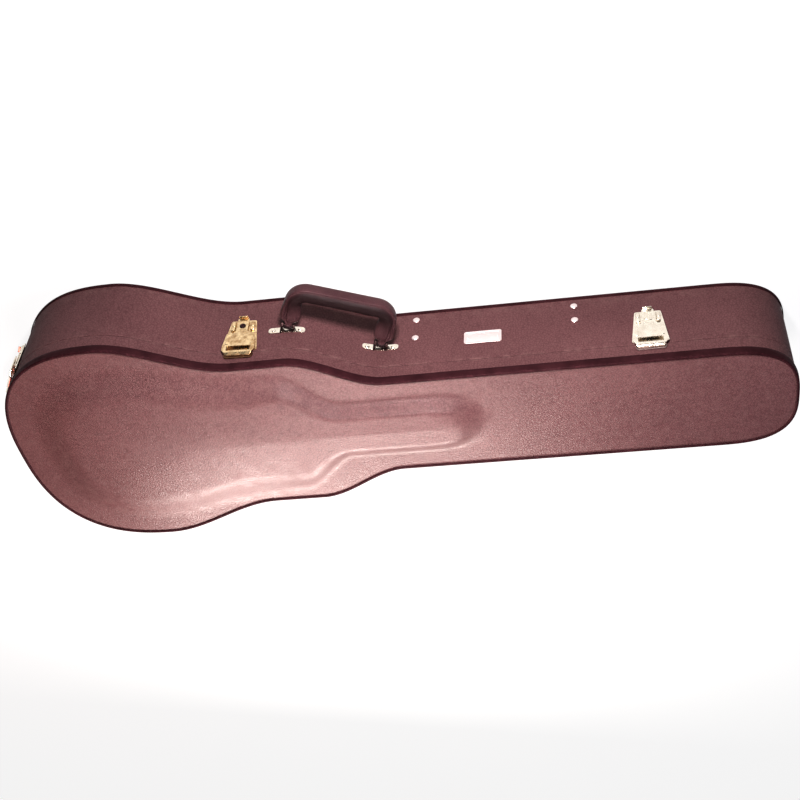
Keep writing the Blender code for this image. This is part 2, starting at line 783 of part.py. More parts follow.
def make_compartment():
    """Dividers, ledge, rod and hatch of the accessory compartment."""
    half = NECK_HALF - WALL - GAP
    floor = BOARD + GAP
    rod_y, rod_z = hatch_rod_place()
    start = world_x(FRONT_DIVIDER_AT + DIVIDER / 2)
    end = world_x(REAR_DIVIDER_AT - DIVIDER / 2)
    depth = DIVIDER / 2
    rod_hole = rod((rod_y, rod_z), ROD_RADIUS + GAP, (start - depth, end + depth), "u", SMALL_ROUND)
    notch_low = FRONT_DIVIDER_TOP - NECK_NOTCH_DEPTH
    for name, x, top in (("neck_rest", FRONT_DIVIDER_AT, FRONT_DIVIDER_TOP),
                         ("rear_divider", REAR_DIVIDER_AT, REAR_DIVIDER_TOP)):
        middle = world_x(x)
        limits = (middle - DIVIDER / 2, middle + DIVIDER / 2)
        cuts = [rod_hole.copy()] + rivet_holes()
        if name == "neck_rest":
            profile = [(-NECK_NOTCH_HALF, top + GAP), (-0.7 * NECK_NOTCH_HALF, notch_low),
                       (0.7 * NECK_NOTCH_HALF, notch_low), (NECK_NOTCH_HALF, top + GAP)]
            cuts.append(plate(profile, limits[0] - GAP, limits[1] + GAP, "u"))
        build(name, "plush", [box(limits, (-half, half), (floor, top))], cuts)
    bpy.data.meshes.remove(rod_hole)
    build("compartment_rod", "steel",
          [rod((rod_y, rod_z), ROD_RADIUS, (start - depth + GAP, end + depth - GAP), "u",
               SMALL_ROUND)], smooth=True)
    hatch_low = HATCH_TOP - HATCH_THICK
    ledge = ((start + GAP, end - GAP), (half - LEDGE, half), (hatch_low - GAP - LEDGE, hatch_low - GAP))
    build("compartment_ledge", "plywood", [box(*ledge)])
    knuckle = ROD_RADIUS + PIN_CLEAR + KNUCKLE_WALL
    limits = (start + HATCH_SIDE_CLEAR, end - HATCH_SIDE_CLEAR)
    panel = box(limits, (rod_y, half - HATCH_SIDE_CLEAR), (hatch_low, HATCH_TOP))
    roll = rod((rod_y, rod_z), knuckle, limits, "u")
    bore = rod((rod_y, rod_z), ROD_RADIUS + PIN_CLEAR, (limits[0] - GAP, limits[1] + GAP), "u")
    origin = ((start + end) / 2, rod_y, rod_z)
    build("compartment_hatch", "plush", [panel, roll], [bore], origin=origin)
    middle = (start + end) / 2
    tab_out = half - HATCH_SIDE_CLEAR - TAB_THICK
    tab = box((middle - TAB_WIDTH / 2, middle + TAB_WIDTH / 2),
              (tab_out - TAB_LENGTH, tab_out), (HATCH_TOP + GAP, HATCH_TOP + GAP + TAB_THICK))
    build("hatch_pull_tab", "handle", [tab], origin=origin)


def make_rivets():
    """Eight rivets through the wall into the dividers."""
    for name, x, height, side in rivet_places():
        shank = rod((0.0, height), RIVET_SHANK, (-WALL - RIVET_GRIP, 2 * GAP), "n", SMALL_ROUND)
        head = rod((0.0, height), RIVET_HEAD, (GAP, GAP + 0.5 * RIVET_RISE), "n", ROUND)
        cap_span = (GAP + 0.3 * RIVET_RISE, GAP + RIVET_RISE)
        cap = rod((0.0, height), 0.72 * RIVET_HEAD, cap_span, "n", ROUND)
        build(name, "nickel", [head, cap, shank], frame=wall_frame(x, side), smooth=True)


def make_nameplate():
    """Bare metal plate on the neck wall."""
    half = NAMEPLATE_WIDTH / 2
    corners = [(-half, NAMEPLATE_LOW), (half, NAMEPLATE_LOW),
               (half, NAMEPLATE_HIGH), (-half, NAMEPLATE_HIGH)]
    outline = rounded_corners(corners, SHEET_CORNER)
    build("nameplate", "nickel", [plate(outline, GAP, GAP + SHEET)],
          frame=seat_frame(NAMEPLATE_AT, half))


def handle_frame():
    """Frame of the handle: along its pivot axis, out of the case, and up."""
    left = wall_frame(HANDLE_LEFT_AT)
    right = wall_frame(HANDLE_RIGHT_AT)
    ends = [f.translation + f.col[1].xyz * HANDLE_PIVOT_OUT for f in (left, right)]
    along = (ends[1] - ends[0]).normalized()
    out = Vector((-along.y, along.x, 0.0))
    frame = Matrix.Identity(4)
    frame.col[0][:3] = along
    frame.col[1][:3] = out
    frame.col[3][:3] = (ends[0] + ends[1]) / 2 + Vector((0.0, 0.0, HANDLE_Z))
    return frame, (ends[1] - ends[0]).length / 2


def handle_path(half):
    """Centre line of the handle in its own plane, from one foot to the other."""
    centre_u = half - HANDLE_CORNER
    centre_v = HANDLE_REACH - HANDLE_CORNER
    middle = 0.5 * (FOOT_LENGTH + centre_v)
    side = [(half, 0.0), (half, FOOT_LENGTH), (half, 0.5 * (FOOT_LENGTH + middle)),
            (half, middle), (half, centre_v)]
    for i in range(1, 5):
        angle = 0.5 * math.pi * i / 4
        side.append((centre_u + HANDLE_CORNER * math.cos(angle),
                     centre_v + HANDLE_CORNER * math.sin(angle)))
    side.append((0.5 * centre_u, HANDLE_REACH))
    left = [(-u, v) for u, v in side]
    return left + [(0.0, HANDLE_REACH)] + list(reversed(side))


def swept_handle(half):
    """Closed bar along the handle's path, slim at its feet."""
    path = [Vector((u, v)) for u, v in handle_path(half)]
    bm = bmesh.new()
    rings = []
    for i, point in enumerate(path):
        before = path[max(0, i - 1)]
        after = path[min(len(path) - 1, i + 1)]
        tangent = (after - before).normalized()
        side = Vector((tangent.y, -tangent.x))
        share = smoothstep((point.y - 0.35 * HANDLE_REACH) / (0.55 * HANDLE_REACH))
        swell = smoothstep((point.y - FOOT_LENGTH) / (0.3 * HANDLE_REACH))
        leg = FOOT_WIDE + (LEG_WIDE - FOOT_WIDE) * swell
        wide = leg + (GRIP_WIDE - LEG_WIDE) * share
        leg = FOOT_THICK + (LEG_THICK - FOOT_THICK) * swell
        thick = leg + (GRIP_THICK - LEG_THICK) * share
        ring = []
        for k in range(SMALL_ROUND):
            angle = 2 * math.pi * (k + 0.5) / SMALL_ROUND
            a = abs(math.cos(angle)) ** 0.7 * math.copysign(0.5 * thick, math.cos(angle))
            b = abs(math.sin(angle)) ** 0.7 * math.copysign(0.5 * wide, math.sin(angle))
            place = point + side * a
            ring.append(bm.verts.new((place.x, place.y, b)))
        rings.append(ring)
    for ring, after in zip(rings, rings[1:]):
        for k in range(SMALL_ROUND):
            j = (k + 1) % SMALL_ROUND
            bm.faces.new((ring[k], ring[j], after[j], after[k]))
    bm.faces.new(rings[0])
    bm.faces.new(rings[-1])
    return mesh_from(bm, "swept_handle")


def side_line(frame, offset):
    """The wall's line on a frame's side of the case, in that frame, moved out by offset."""
    inverse = frame.inverted()
    side = 1 if frame.col[1].y > 0 else -1
    line = [inverse @ Vector((p.x, p.y * side, 0.0)) for p in half_outline(offset)]
    return sorted((point.x, point.y) for point in line)


def out_at(line, u):
    """How far out a line lies abreast of u."""
    for a, b in zip(line, line[1:]):
        if a[0] <= u <= b[0]:
            return a[1] + (b[1] - a[1]) * (u - a[0]) / (b[0] - a[0])
    raise ValueError("the line does not reach this place")


def line_between(line, limits):
    """The stretch of a line between two places."""
    inside = [p for p in line if limits[0] + GAP < p[0] < limits[1] - GAP]
    return [(limits[0], out_at(line, limits[0]))] + inside + [(limits[1], out_at(line, limits[1]))]


def wall_strip(frame, limits, near, far, low, high):
    """Strip that follows the wall between two places along a frame."""
    inner = line_between(side_line(frame, near), limits)
    outer = line_between(side_line(frame, far), limits)
    return prism(inner + list(reversed(outer)), low, high)


def seat_frame(x, half):
    """Frame on the handle-side wall that a flat plate of this half length sits on."""
    frame = wall_frame(x)
    line = side_line(frame, 0.0)
    rise = (out_at(line, half) - out_at(line, -half)) / (2 * half)
    frame = frame @ Matrix.Rotation(math.atan(rise), 4, "Z")
    highest = max(p[1] for p in line_between(side_line(frame, 0.0), (-half, half)))
    return frame @ Matrix.Translation((0.0, highest, 0.0))


def make_handle():
    """Handle, its two pins and its two brackets."""
    frame, half = handle_frame()
    lean = frame @ Matrix.Rotation(math.radians(-HANDLE_LEAN), 4, "X")
    bar = swept_handle(half)
    bore_radius = HANDLE_PIN + PIN_CLEAR
    eyes = []
    bores = []
    eye_half = FOOT_THICK / 2
    for sign in (-1, 1):
        limits = (sign * half - eye_half, sign * half + eye_half)
        eyes.append(rod((0.0, 0.0), EAR_RADIUS, limits, "u"))
        bores.append(rod((0.0, 0.0), bore_radius, (limits[0] - GAP, limits[1] + GAP), "u"))
    build("handle_grip", "handle", [bar] + eyes, bores, frame=lean, smooth=True)
    ear_start = eye_half + 2 * GAP
    for name, sign in (("left", -1), ("right", 1)):
        local = frame @ Matrix.Translation((sign * half, 0.0, 0.0))
        low, high = -BRACKET_HEIGHT / 2, BRACKET_HEIGHT / 2
        limit = BRACKET_LENGTH / 2
        strip = wall_strip(local, (-limit, limit), GAP, GAP + SHEET, low, high)
        parts = [strip]
        for ear_sign in (-1, 1):
            near, far = ear_sign * ear_start, ear_sign * (ear_start + EAR_THICK)
            limits = (min(near, far), max(near, far))
            parts.append(wall_strip(local, limits, GAP, HANDLE_PIVOT_OUT, low, high))
            parts.append(rod((0.0, 0.0), EAR_RADIUS, limits, "u"))
        outer = ear_start + EAR_THICK
        hole = rod((0.0, 0.0), bore_radius, (-outer - GAP, outer + GAP), "u")
        build("handle_bracket_" + name, "nickel", parts, [hole], frame=local)
        pin = rod((0.0, 0.0), HANDLE_PIN, (-outer, outer), "u")
        build("handle_pin_" + name, "steel", [pin], frame=local, smooth=True)


def make_latch(name, x):
    """Draw latch: plate, lever, claw and pin on the base, and its strike on the lid."""
    frame = seat_frame(x, PLATE_HIGH_HALF)
    label = "latch_" + name + "_"
    kind = "brass" if name == "waist" else "nickel"
    high = PARTING - PLATE_BELOW_PARTING
    outline = [(-PLATE_LOW_HALF, PLATE_LOW), (PLATE_LOW_HALF, PLATE_LOW),
               (PLATE_HIGH_HALF, high), (-PLATE_HIGH_HALF, high)]
    pivot = (LEVER_PIVOT_OUT, LEVER_PIVOT_Z)
    parts = [plate(rounded_corners(outline, SHEET_CORNER), GAP, GAP + SHEET)]
    ear_near = LEVER_HALF + GAP
    ear_far = ear_near + LEVER_SHEET
    for sign in (-1, 1):
        limits = tuple(sorted((sign * ear_near, sign * ear_far)))
        parts.append(rod(pivot, LEVER_KNUCKLE, limits, "u", SMALL_ROUND))
        foot = (GAP + 0.5 * SHEET, LEVER_PIVOT_OUT)
        rise = (LEVER_PIVOT_Z - LEVER_KNUCKLE, LEVER_PIVOT_Z + LEVER_KNUCKLE)
        parts.append(box(limits, foot, rise))
        cheek = tuple(sorted((sign * CHEEK_NEAR, sign * CHEEK_FAR)))
        parts.append(box(cheek, (GAP + 0.5 * SHEET, CHEEK_RISE), (CHEEK_LOW, CHEEK_TOP)))
    bore = rod(pivot, LEVER_PIN + PIN_CLEAR, (-ear_far - GAP, ear_far + GAP), "u", SMALL_ROUND)
    build(label + "plate", kind, parts, [bore.copy()], frame=frame)
    build(label + "pin", "steel", [rod(pivot, LEVER_PIN, (-ear_far, ear_far), "u", SMALL_ROUND)],
          frame=frame, smooth=True)

    back = LEVER_FACE - LEVER_SHEET
    lever_top = LEVER_PIVOT_Z + 0.3 * LEVER_KNUCKLE
    neck = CLAW_PIVOT_Z - 2 * CLAW_KNUCKLE
    outline = [(-LEVER_HEAD_HALF, LEVER_LOW), (LEVER_HEAD_HALF, LEVER_LOW),
               (LEVER_HEAD_HALF, neck), (LEVER_HALF, neck + LEVER_SHOULDER), (LEVER_HALF, lever_top),
               (-LEVER_HALF, lever_top), (-LEVER_HALF, neck + LEVER_SHOULDER), (-LEVER_HEAD_HALF, neck)]
    parts = [plate(outline, back, LEVER_FACE)]
    tab = box((-LEVER_TAB_HALF, LEVER_TAB_HALF), (back, LEVER_FACE + LEVER_TAB_OUT),
              (LEVER_LOW - 0.8 * LEVER_SHEET, LEVER_LOW + 0.2 * LEVER_SHEET))
    parts.append(tab)
    claw_pivot = (LEVER_FACE - LEVER_SHEET / 2, CLAW_PIVOT_Z)
    window_half = CLAW_KNUCKLE_HALF + GAP
    window_reach = CLAW_KNUCKLE + GAP
    for sign in (-1, 1):
        limits = tuple(sorted((sign * (LEVER_HALF - LEVER_SHEET), sign * LEVER_HALF)))
        parts.append(rod(pivot, LEVER_KNUCKLE, limits, "u", SMALL_ROUND))
        parts.append(box(limits, (LEVER_PIVOT_OUT, back + 0.5 * LEVER_SHEET),
                         (LEVER_PIVOT_Z - LEVER_KNUCKLE, lever_top)))
    window = box((-window_half, window_half), (back - GAP, LEVER_FACE + GAP),
                 (CLAW_PIVOT_Z - window_reach, CLAW_PIVOT_Z + window_reach))
    cuts = [window, bore]
    if name == "waist":
        cuts.append(rod((0.0, LOCK_Z), LOCK_RADIUS + GAP, (back - GAP, LEVER_FACE + GAP), "n"))
    lever = combine(parts[0], parts[1:], "UNION")
    lever = combine(lever, cuts, "DIFFERENCE")
    pin = rod(claw_pivot, CLAW_PIN, (-window_half - GAP, window_half + GAP), "u", SMALL_ROUND)
    build(label + "lever", kind, [lever, pin], frame=frame, origin=(0.0, *pivot))

    face = (LEVER_FACE + GAP, LEVER_FACE + GAP + CLAW_SHEET)
    taper_half = CLAW_HALF - CLAW_TAPER
    outline = [(-taper_half, CLAW_LOW), (taper_half, CLAW_LOW),
               (CLAW_HALF, CLAW_WINDOW_LOW), (CLAW_HALF, CLAW_TOP),
               (-CLAW_HALF, CLAW_TOP), (-CLAW_HALF, CLAW_WINDOW_LOW)]
    tongue = box((-CLAW_KNUCKLE_HALF, CLAW_KNUCKLE_HALF),
                 (face[0], claw_pivot[0] + CLAW_KNUCKLE), (CLAW_PIVOT_Z, CLAW_LOW + CLAW_SHEET))
    roll = rod(claw_pivot, CLAW_KNUCKLE, (-CLAW_KNUCKLE_HALF, CLAW_KNUCKLE_HALF), "u", SMALL_ROUND)
    inner = CLAW_HALF - CLAW_ARM
    window = box((-inner, inner), (face[0] - GAP, face[1] + GAP), (CLAW_WINDOW_LOW, CLAW_WINDOW_HIGH))
    eye = rod(claw_pivot, CLAW_PIN + PIN_CLEAR,
              (-CLAW_KNUCKLE_HALF - GAP, CLAW_KNUCKLE_HALF + GAP), "u", SMALL_ROUND)
    build(label + "claw", kind, [plate(outline, *face), tongue, roll], [window, eye],
          frame=frame, origin=(0.0, *claw_pivot))

    strike_low = PARTING + PLATE_BELOW_PARTING
    outline = [(-STRIKE_HALF, strike_low), (STRIKE_HALF, strike_low),
               (STRIKE_HALF, STRIKE_TOP), (-STRIKE_HALF, STRIKE_TOP)]
    shelf_low = 0.5 * (CLAW_WINDOW_HIGH + CLAW_TOP) - STRIKE_SHELF / 2
    shelf = box((-inner, inner), (GAP, face[0] - 2 * GAP), (shelf_low, shelf_low + STRIKE_SHELF))
    build(label + "strike", kind, [plate(rounded_corners(outline, SHEET_CORNER), GAP, GAP + SHEET), shelf],
          frame=frame)
    if name == "waist":
        body = rod((0.0, LOCK_Z), LOCK_RADIUS, (back - LOCK_BACK, LEVER_FACE + LOCK_RISE), "n")
        slot = box((-KEYWAY / 2, KEYWAY / 2), (LEVER_FACE, LEVER_FACE + LOCK_RISE + GAP),
                   (LOCK_Z - 0.6 * LOCK_RADIUS, LOCK_Z + 0.6 * LOCK_RADIUS))
        build("lock_plug", "steel", [body], [slot], frame=frame, origin=(0.0, LEVER_FACE, LOCK_Z))


def hinge_axis():
    """The straight line that clears the hinge side by the hinges' offset.

    It touches the outline at the lower bout and near the head end, so it is
    an edge of the convex hull of that side, moved out.
    """
    side = [Vector((p.x, -p.y)) for p in half_outline()]
    best = None
    for i, a in enumerate(side):
        for b in side[i + 1:]:
            run = b - a
            if run.x < LENGTH / 3:
                continue
            out = Vector((run.y, -run.x)).normalized()
            if all((p - a).dot(out) < GAP / 3 for p in side):
                if best is None or run.length > best[1]:
                    best = ((a, b), run.length)
    (a, b), _ = best
    run = (b - a).normalized()
    out = Vector((run.y, -run.x))
    return a + out * HINGE_OUT, run


def hinge_frame(x):
    """Frame on the hinge axis abreast of a place along the case."""
    start, run = hinge_axis()
    goal = Vector((world_x(x), -half_width(x)))
    place = start + run * (goal - start).dot(run)
    frame = Matrix.Identity(4)
    frame.col[0][:3] = (-run.x, -run.y, 0.0)
    frame.col[1][:3] = (run.y, -run.x, 0.0)
    frame.col[3][:3] = (place.x, place.y, PARTING)
    return frame


def make_hinge(name, x):
    """One hinge: a leaf on the base, a leaf on the lid and the pin through both."""
    frame = hinge_frame(x)
    half = HINGE_LENGTH / 2
    middle = HINGE_MIDDLE / 2
    outer_spans = ((-half, -middle - GAP), (middle + GAP, half))
    bore = rod((0.0, 0.0), HINGE_PIN + PIN_CLEAR, (-half - GAP, half + GAP), "u", SMALL_ROUND)
    label = "hinge_" + name + "_"
    for leaf, sign, spans in (("base_leaf", -1, outer_spans), ("lid_leaf", 1, ((-middle, middle),))):
        edge = sorted((sign * LEAF_CLEAR, sign * (LEAF_CLEAR + LEAF_DEPTH)))
        parts = [wall_strip(frame, (-half, half), GAP, GAP + SHEET, *edge)]
        web = sorted((sign * 0.2 * HINGE_KNUCKLE, sign * (LEAF_CLEAR + WEB_THICK)))
        for span in spans:
            parts.append(web_block(frame, span, GAP + 0.5 * SHEET, web))
            parts.append(rod((0.0, 0.0), HINGE_KNUCKLE, span, "u", SMALL_ROUND))
        build(label + leaf, "nickel", parts, [bore.copy()], frame=frame)
    bpy.data.meshes.remove(bore)
    pin = rod((0.0, 0.0), HINGE_PIN, (-half, half), "u", SMALL_ROUND)
    build(label + "pin", "steel", [pin], frame=frame, smooth=True)


def web_block(frame, span, near, heights):
    """Block from just off the wall to the hinge axis."""
    outline = line_between(side_line(frame, near), span) + [(span[1], 0.0), (span[0], 0.0)]
    return prism(outline, heights[0], heights[1])


def clear_scene():
    """Start from an empty scene."""
    for old in list(bpy.data.objects):
        bpy.data.objects.remove(old, do_unlink=True)


def main():
    clear_scene()
    make_base_shell()
    make_padding()
    make_compartment()
    make_rivets()
    make_nameplate()
    make_handle()
    for name, x in LATCHES.items():
        make_latch(name, x)
    for name, x in HINGES.items():
        make_hinge(name, x)
    make_lid()


main()
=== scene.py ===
"""Looks of the electric guitar case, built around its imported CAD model."""

import math

import bmesh
import bpy
import numpy as np
from mathutils import Matrix, Vector


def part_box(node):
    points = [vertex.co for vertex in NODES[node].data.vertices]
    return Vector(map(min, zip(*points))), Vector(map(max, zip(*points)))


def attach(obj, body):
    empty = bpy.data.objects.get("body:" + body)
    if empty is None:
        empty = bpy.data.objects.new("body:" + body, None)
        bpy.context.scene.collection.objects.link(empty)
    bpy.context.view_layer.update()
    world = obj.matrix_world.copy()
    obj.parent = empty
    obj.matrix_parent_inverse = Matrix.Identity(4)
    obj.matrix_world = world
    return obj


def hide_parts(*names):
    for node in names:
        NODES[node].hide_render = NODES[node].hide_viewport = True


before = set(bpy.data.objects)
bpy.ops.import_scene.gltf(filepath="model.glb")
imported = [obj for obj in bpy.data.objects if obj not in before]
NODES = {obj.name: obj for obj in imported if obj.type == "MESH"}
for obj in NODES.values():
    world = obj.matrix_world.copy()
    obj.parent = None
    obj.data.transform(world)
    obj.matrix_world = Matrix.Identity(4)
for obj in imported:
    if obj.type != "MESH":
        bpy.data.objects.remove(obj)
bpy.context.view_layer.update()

MM = 0.001

# Outline of the case, measured along the long axis from the butt end.
# The higher its power, the squarer an end.
LENGTH = 1058 * MM
BOUT_HALF = 184.6 * MM
BOUT_AT = 163 * MM
BUTT_POWER = 2.5
SHELF_START = 338 * MM
SHELF_END = 408 * MM
SHELF_HALF = 131 * MM
NECK_START = 533 * MM
NECK_HALF = 82.8 * MM
HEAD_ROUND = 100 * MM
HEAD_POWER = 2.85

# Heights and walls
DEPTH = 134 * MM
PARTING = 103 * MM
WALL = 6 * MM
BOARD = 5.5 * MM
LID_TOP = 4 * MM
RIM_ROUND = 1.3 * MM
RIM_WEAR = 3.5 * MM

# Space left beside a piece, the stamped metal's thickness and face, and the
# angle in radians over which an edge of it is rounded
GAP = 0.3 * MM
SHEET = 1.2 * MM
FACE = GAP + SHEET
SHARP_TURN = 1.2

# Raised panel of the lid
PANEL_RISE = 10.5 * MM
PANEL_SLOPE_BOUT = 60 * MM
PANEL_SLOPE_TONGUE = 27 * MM
PANEL_CAMBER = 3 * MM
CAMBER_REACH = 110 * MM
PANEL_RIM = 60 * MM
PANEL_BOUT_HALF = 125 * MM
PANEL_WAIST_HALF = 94 * MM
PANEL_WAIST_AT = 348 * MM
PANEL_SHOULDER_AT = 390 * MM
PANEL_TONGUE_AT = 466 * MM
PANEL_TONGUE_HALF = 41 * MM
PANEL_END = 638 * MM
ROUND_POWER = 2.0

# Binding
BEAD_PROUD = 2.2 * MM
BEAD_HEIGHT = 11 * MM
BEAD_OVER = 2.6 * MM
BEAD_RISE = 1.8 * MM
BEAD_CORNER = 2.0 * MM
BASE_BEAD_PROUD = 1.6 * MM
BASE_BEAD_HEIGHT = 5 * MM

# Handle. Below 1, HANDLE_SQUARE makes its section squarer than an ellipse.
HANDLE_ALONG = (0.925086, -0.379758)
HANDLE_OUT = (0.379758, 0.925086)
HANDLE_POS = (-0.060571, 0.115294)
HANDLE_HEIGHT = 67 * MM
HANDLE_HALF = 62.84 * MM
HANDLE_REACH = 62 * MM
HANDLE_CORNER = 18 * MM
HANDLE_SQUARE = 0.7
GRIP_WIDE = 24 * MM
GRIP_THICK = 21 * MM
LEG_WIDE = 16 * MM
LEG_THICK = 27 * MM
FOOT_THICK = 11 * MM
FOOT_WIDE = 9 * MM
FOOT_START = 5 * MM
HANDLE_PIN = 2.2 * MM
PIN_CLEAR = 0.3 * MM
EAR_RADIUS = 5 * MM
EAR_THICK = 3 * MM
BRACKET_LENGTH = 47 * MM
BRACKET_HEIGHT = 10 * MM
BRACKET_ROUND = 4.2 * MM

# Latches: along the wall, out of it, and the place on it
LATCHES = {
    "butt": ((0.492647, 0.870229), (-0.870229, 0.492647), (-0.505922, 0.116444)),
    "waist": ((0.999217, -0.039557), (0.039557, 0.999217), (-0.182962, 0.131949)),
    "neck": ((1.0, 0.0), (0.0, 1.0), (0.349, 0.0828)),
}

# Pivots and faces of a latch: out of the wall, and for pivots the height too
LEVER_PIVOT = (3.6 * MM, 84 * MM)
LEVER_BACK, LEVER_FACE = 4.0 * MM, 5.2 * MM
CLAW_PIVOT = (4.6 * MM, 70 * MM)
CLAW_BACK, CLAW_FACE = 5.5 * MM, 6.7 * MM
CLAW_CURL_FROM = 106.2 * MM
CLAW_CURL = 12 * MM
LOCK_HEIGHT = 57 * MM

# Hinges: a point on their axis, its direction and how far along each one is
HINGE_POINT = (-0.340456, -0.185997)
HINGE_RUN = (0.992319, 0.123706)
HINGES = {"bout_rear": 143 * MM, "bout_front": 204 * MM, "neck": 963 * MM}
HINGE_HALF = 22 * MM
HINGE_MIDDLE = 8 * MM

# Vinyl of the walls and the lid
VINYL_DARK = (0.088, 0.040, 0.043)
VINYL_LIGHT = (0.110, 0.052, 0.055)
VINYL_SCUFF = (0.155, 0.092, 0.088)


def mm(*values):
    """Millimetres as metres."""
    return tuple(v * MM for v in values)


def span(sign, near, far):
    """Limits, in order, of something from near to far on one side, in mm."""
    return sorted(mm(sign * near, sign * far))


def smooth(v):
    v = np.clip(v, 0.0, 1.0)
    return v * v * (3.0 - 2.0 * v)


def between(x, start, end, a, b):
    return a + (b - a) * smooth((x - start) / (end - start))


def round_end(d, length, half, power):
    inward = np.clip(1.0 - d / length, 0.0, 1.0)
    return half * np.maximum(0.0, 1.0 - inward ** power) ** (1.0 / power)


def half_width(x):
    """Half width of the case at places measured from the butt end."""
    x = np.asarray(x, float)
    return np.select(
        [x <= BOUT_AT, x <= SHELF_START, x <= SHELF_END, x <= NECK_START,
         x <= LENGTH - HEAD_ROUND],
        [round_end(x, BOUT_AT, BOUT_HALF, BUTT_POWER),
         between(x, BOUT_AT, SHELF_START, BOUT_HALF, SHELF_HALF),
         np.full_like(x, SHELF_HALF),
         between(x, SHELF_END, NECK_START, SHELF_HALF, NECK_HALF),
         np.full_like(x, NECK_HALF)],
        round_end(LENGTH - x, HEAD_ROUND, NECK_HALF, HEAD_POWER))


def end_steps(length, power, steps):
    """Places along a round end that follow its curve evenly."""
    angle = 0.5 * math.pi * np.arange(1, steps + 1) / steps
    return length * (1.0 - np.cos(angle) ** (2.0 / power))


def outline_places(fine):
    head = end_steps(HEAD_ROUND, HEAD_POWER, 8 * fine)[:-1]
    return np.concatenate([
        [0.0],
        end_steps(BOUT_AT, BUTT_POWER, 11 * fine),
        np.linspace(BOUT_AT, SHELF_START, 7 * fine + 1)[1:],
        np.linspace(SHELF_START, SHELF_END, 3 * fine + 1)[1:],
        np.linspace(SHELF_END, NECK_START, 9 * fine + 1)[1:],
        np.linspace(NECK_START, LENGTH - HEAD_ROUND, 9 * fine + 1)[1:],
        LENGTH - head[::-1],
        [LENGTH]])


def half_outline(offset, fine):
    """Handle-side points from the butt tip to the head tip, moved out by offset."""
    x = outline_places(fine)
    p = np.stack([x - LENGTH / 2, half_width(x)], 1)
    step = np.diff(p, axis=0)
    step /= np.linalg.norm(step, axis=1)[:, None]
    tangent = np.zeros_like(p)
    tangent[1:-1] = step[:-1] + step[1:]
    tangent[0], tangent[-1] = (0.0, 1.0), (0.0, -1.0)
    tangent /= np.linalg.norm(tangent, axis=1)[:, None]
    normal = np.stack([-tangent[:, 1], tangent[:, 0]], 1)
    return p + normal * offset


def full_outline(offset):
    """Closed outline, anticlockwise seen from above."""
    half = half_outline(offset, 4)
    return np.concatenate([half * (1, -1), half[::-1][1:-1]])


# ---- materials


class Shader:
    """A material with short ways to add nodes to it."""

    def __init__(self, name, **values):
        self.material = bpy.data.materials.new(name)
        self.material.use_nodes = True
        self.tree = self.material.node_tree
        self.bsdf = self.tree.nodes["Principled BSDF"]
        self.place = self.add("ShaderNodeTexCoord").outputs["Object"]
        for key, value in values.items():
            self.bsdf.inputs[key.replace("_", " ")].default_value = value

    def join(self, socket, value):
        """Give a socket a number, a colour or the output of a node."""
        if isinstance(value, bpy.types.NodeSocket):
            self.tree.links.new(value, socket)
        else:
            socket.default_value = value

    def add(self, kind, links=None, **props):
        node = self.tree.nodes.new(kind)
        for key, value in props.items():
            setattr(node, key, value)
        for key, value in (links or {}).items():
            self.join(node.inputs[key], value)
        return node

    def noise(self, scale, detail=3.0, rough=0.55, stretch=None, distortion=0.0):
        place = self.place
        if stretch:
            place = self.add("ShaderNodeMapping", {"Vector": place, "Scale": stretch}).outputs[0]
        return self.add("ShaderNodeTexNoise", {
            "Vector": place, "Scale": scale, "Detail": detail, "Roughness": rough,
            "Distortion": distortion}).outputs["Fac"]

    def warp(self, scale, amount):
        """Small shifts that make cells uneven."""
        noise = self.add("ShaderNodeTexNoise", {"Vector": self.place, "Scale": scale,
                                                "Detail": 2.0}).outputs["Color"]
        centred = self.add("ShaderNodeVectorMath", {0: noise, 1: (-0.5, -0.5, -0.5)},
                           operation="ADD")
        return self.add("ShaderNodeVectorMath", {0: centred.outputs[0], "Scale": amount},
                        operation="SCALE").outputs[0]

    def cells(self, scale, warp, feature="DISTANCE_TO_EDGE"):
        place = self.add("ShaderNodeVectorMath", {0: self.place, 1: warp}, operation="ADD")
        return self.add("ShaderNodeTexVoronoi", {"Vector": place.outputs[0], "Scale": scale},
                        feature=feature).outputs["Distance"]

    def ramp(self, value, low, high, a=0.0, b=1.0):
        return self.add("ShaderNodeMapRange", {"Value": value, "From Min": low, "From Max": high,
                                               "To Min": a, "To Max": b}).outputs[0]

    def maths(self, operation, a, b):
        return self.add("ShaderNodeMath", {0: a, 1: b}, operation=operation).outputs[0]

    def times(self, a, b):
        return self.maths("MULTIPLY", a, b)

    def total(self, first, *rest):
        """Sum of values that each come with a weight."""
        result = self.times(*first)
        for value, weight in rest:
            result = self.maths("ADD", result, self.times(value, weight))
        return result

    def mix(self, factor, a, b):
        """Mix two colours, on the sockets that a mix node has for colours."""
        node = self.add("ShaderNodeMix", {"Factor": factor}, data_type="RGBA")
        for index, colour in ((6, a), (7, b)):
            self.join(node.inputs[index], (*colour, 1.0) if isinstance(colour, tuple) else colour)
        return node.outputs[2]

    # Stored per vertex: wear on the vinyl, painted shade on the handle.
    def wear_and_shade(self):
        return self.add("ShaderNodeAttribute", attribute_name="wear_and_shade").outputs["Fac"]

    def bump(self, height, distance, strength):
        return self.add("ShaderNodeBump", {"Height": height, "Distance": distance,
                                           "Strength": strength}).outputs[0]

    def set(self, **sockets):
        for key, value in sockets.items():
            self.tree.links.new(value, self.bsdf.inputs[key.replace("_", " ")])
        return self.material


def scaled(share, colour):
    return tuple(share * c for c in colour)


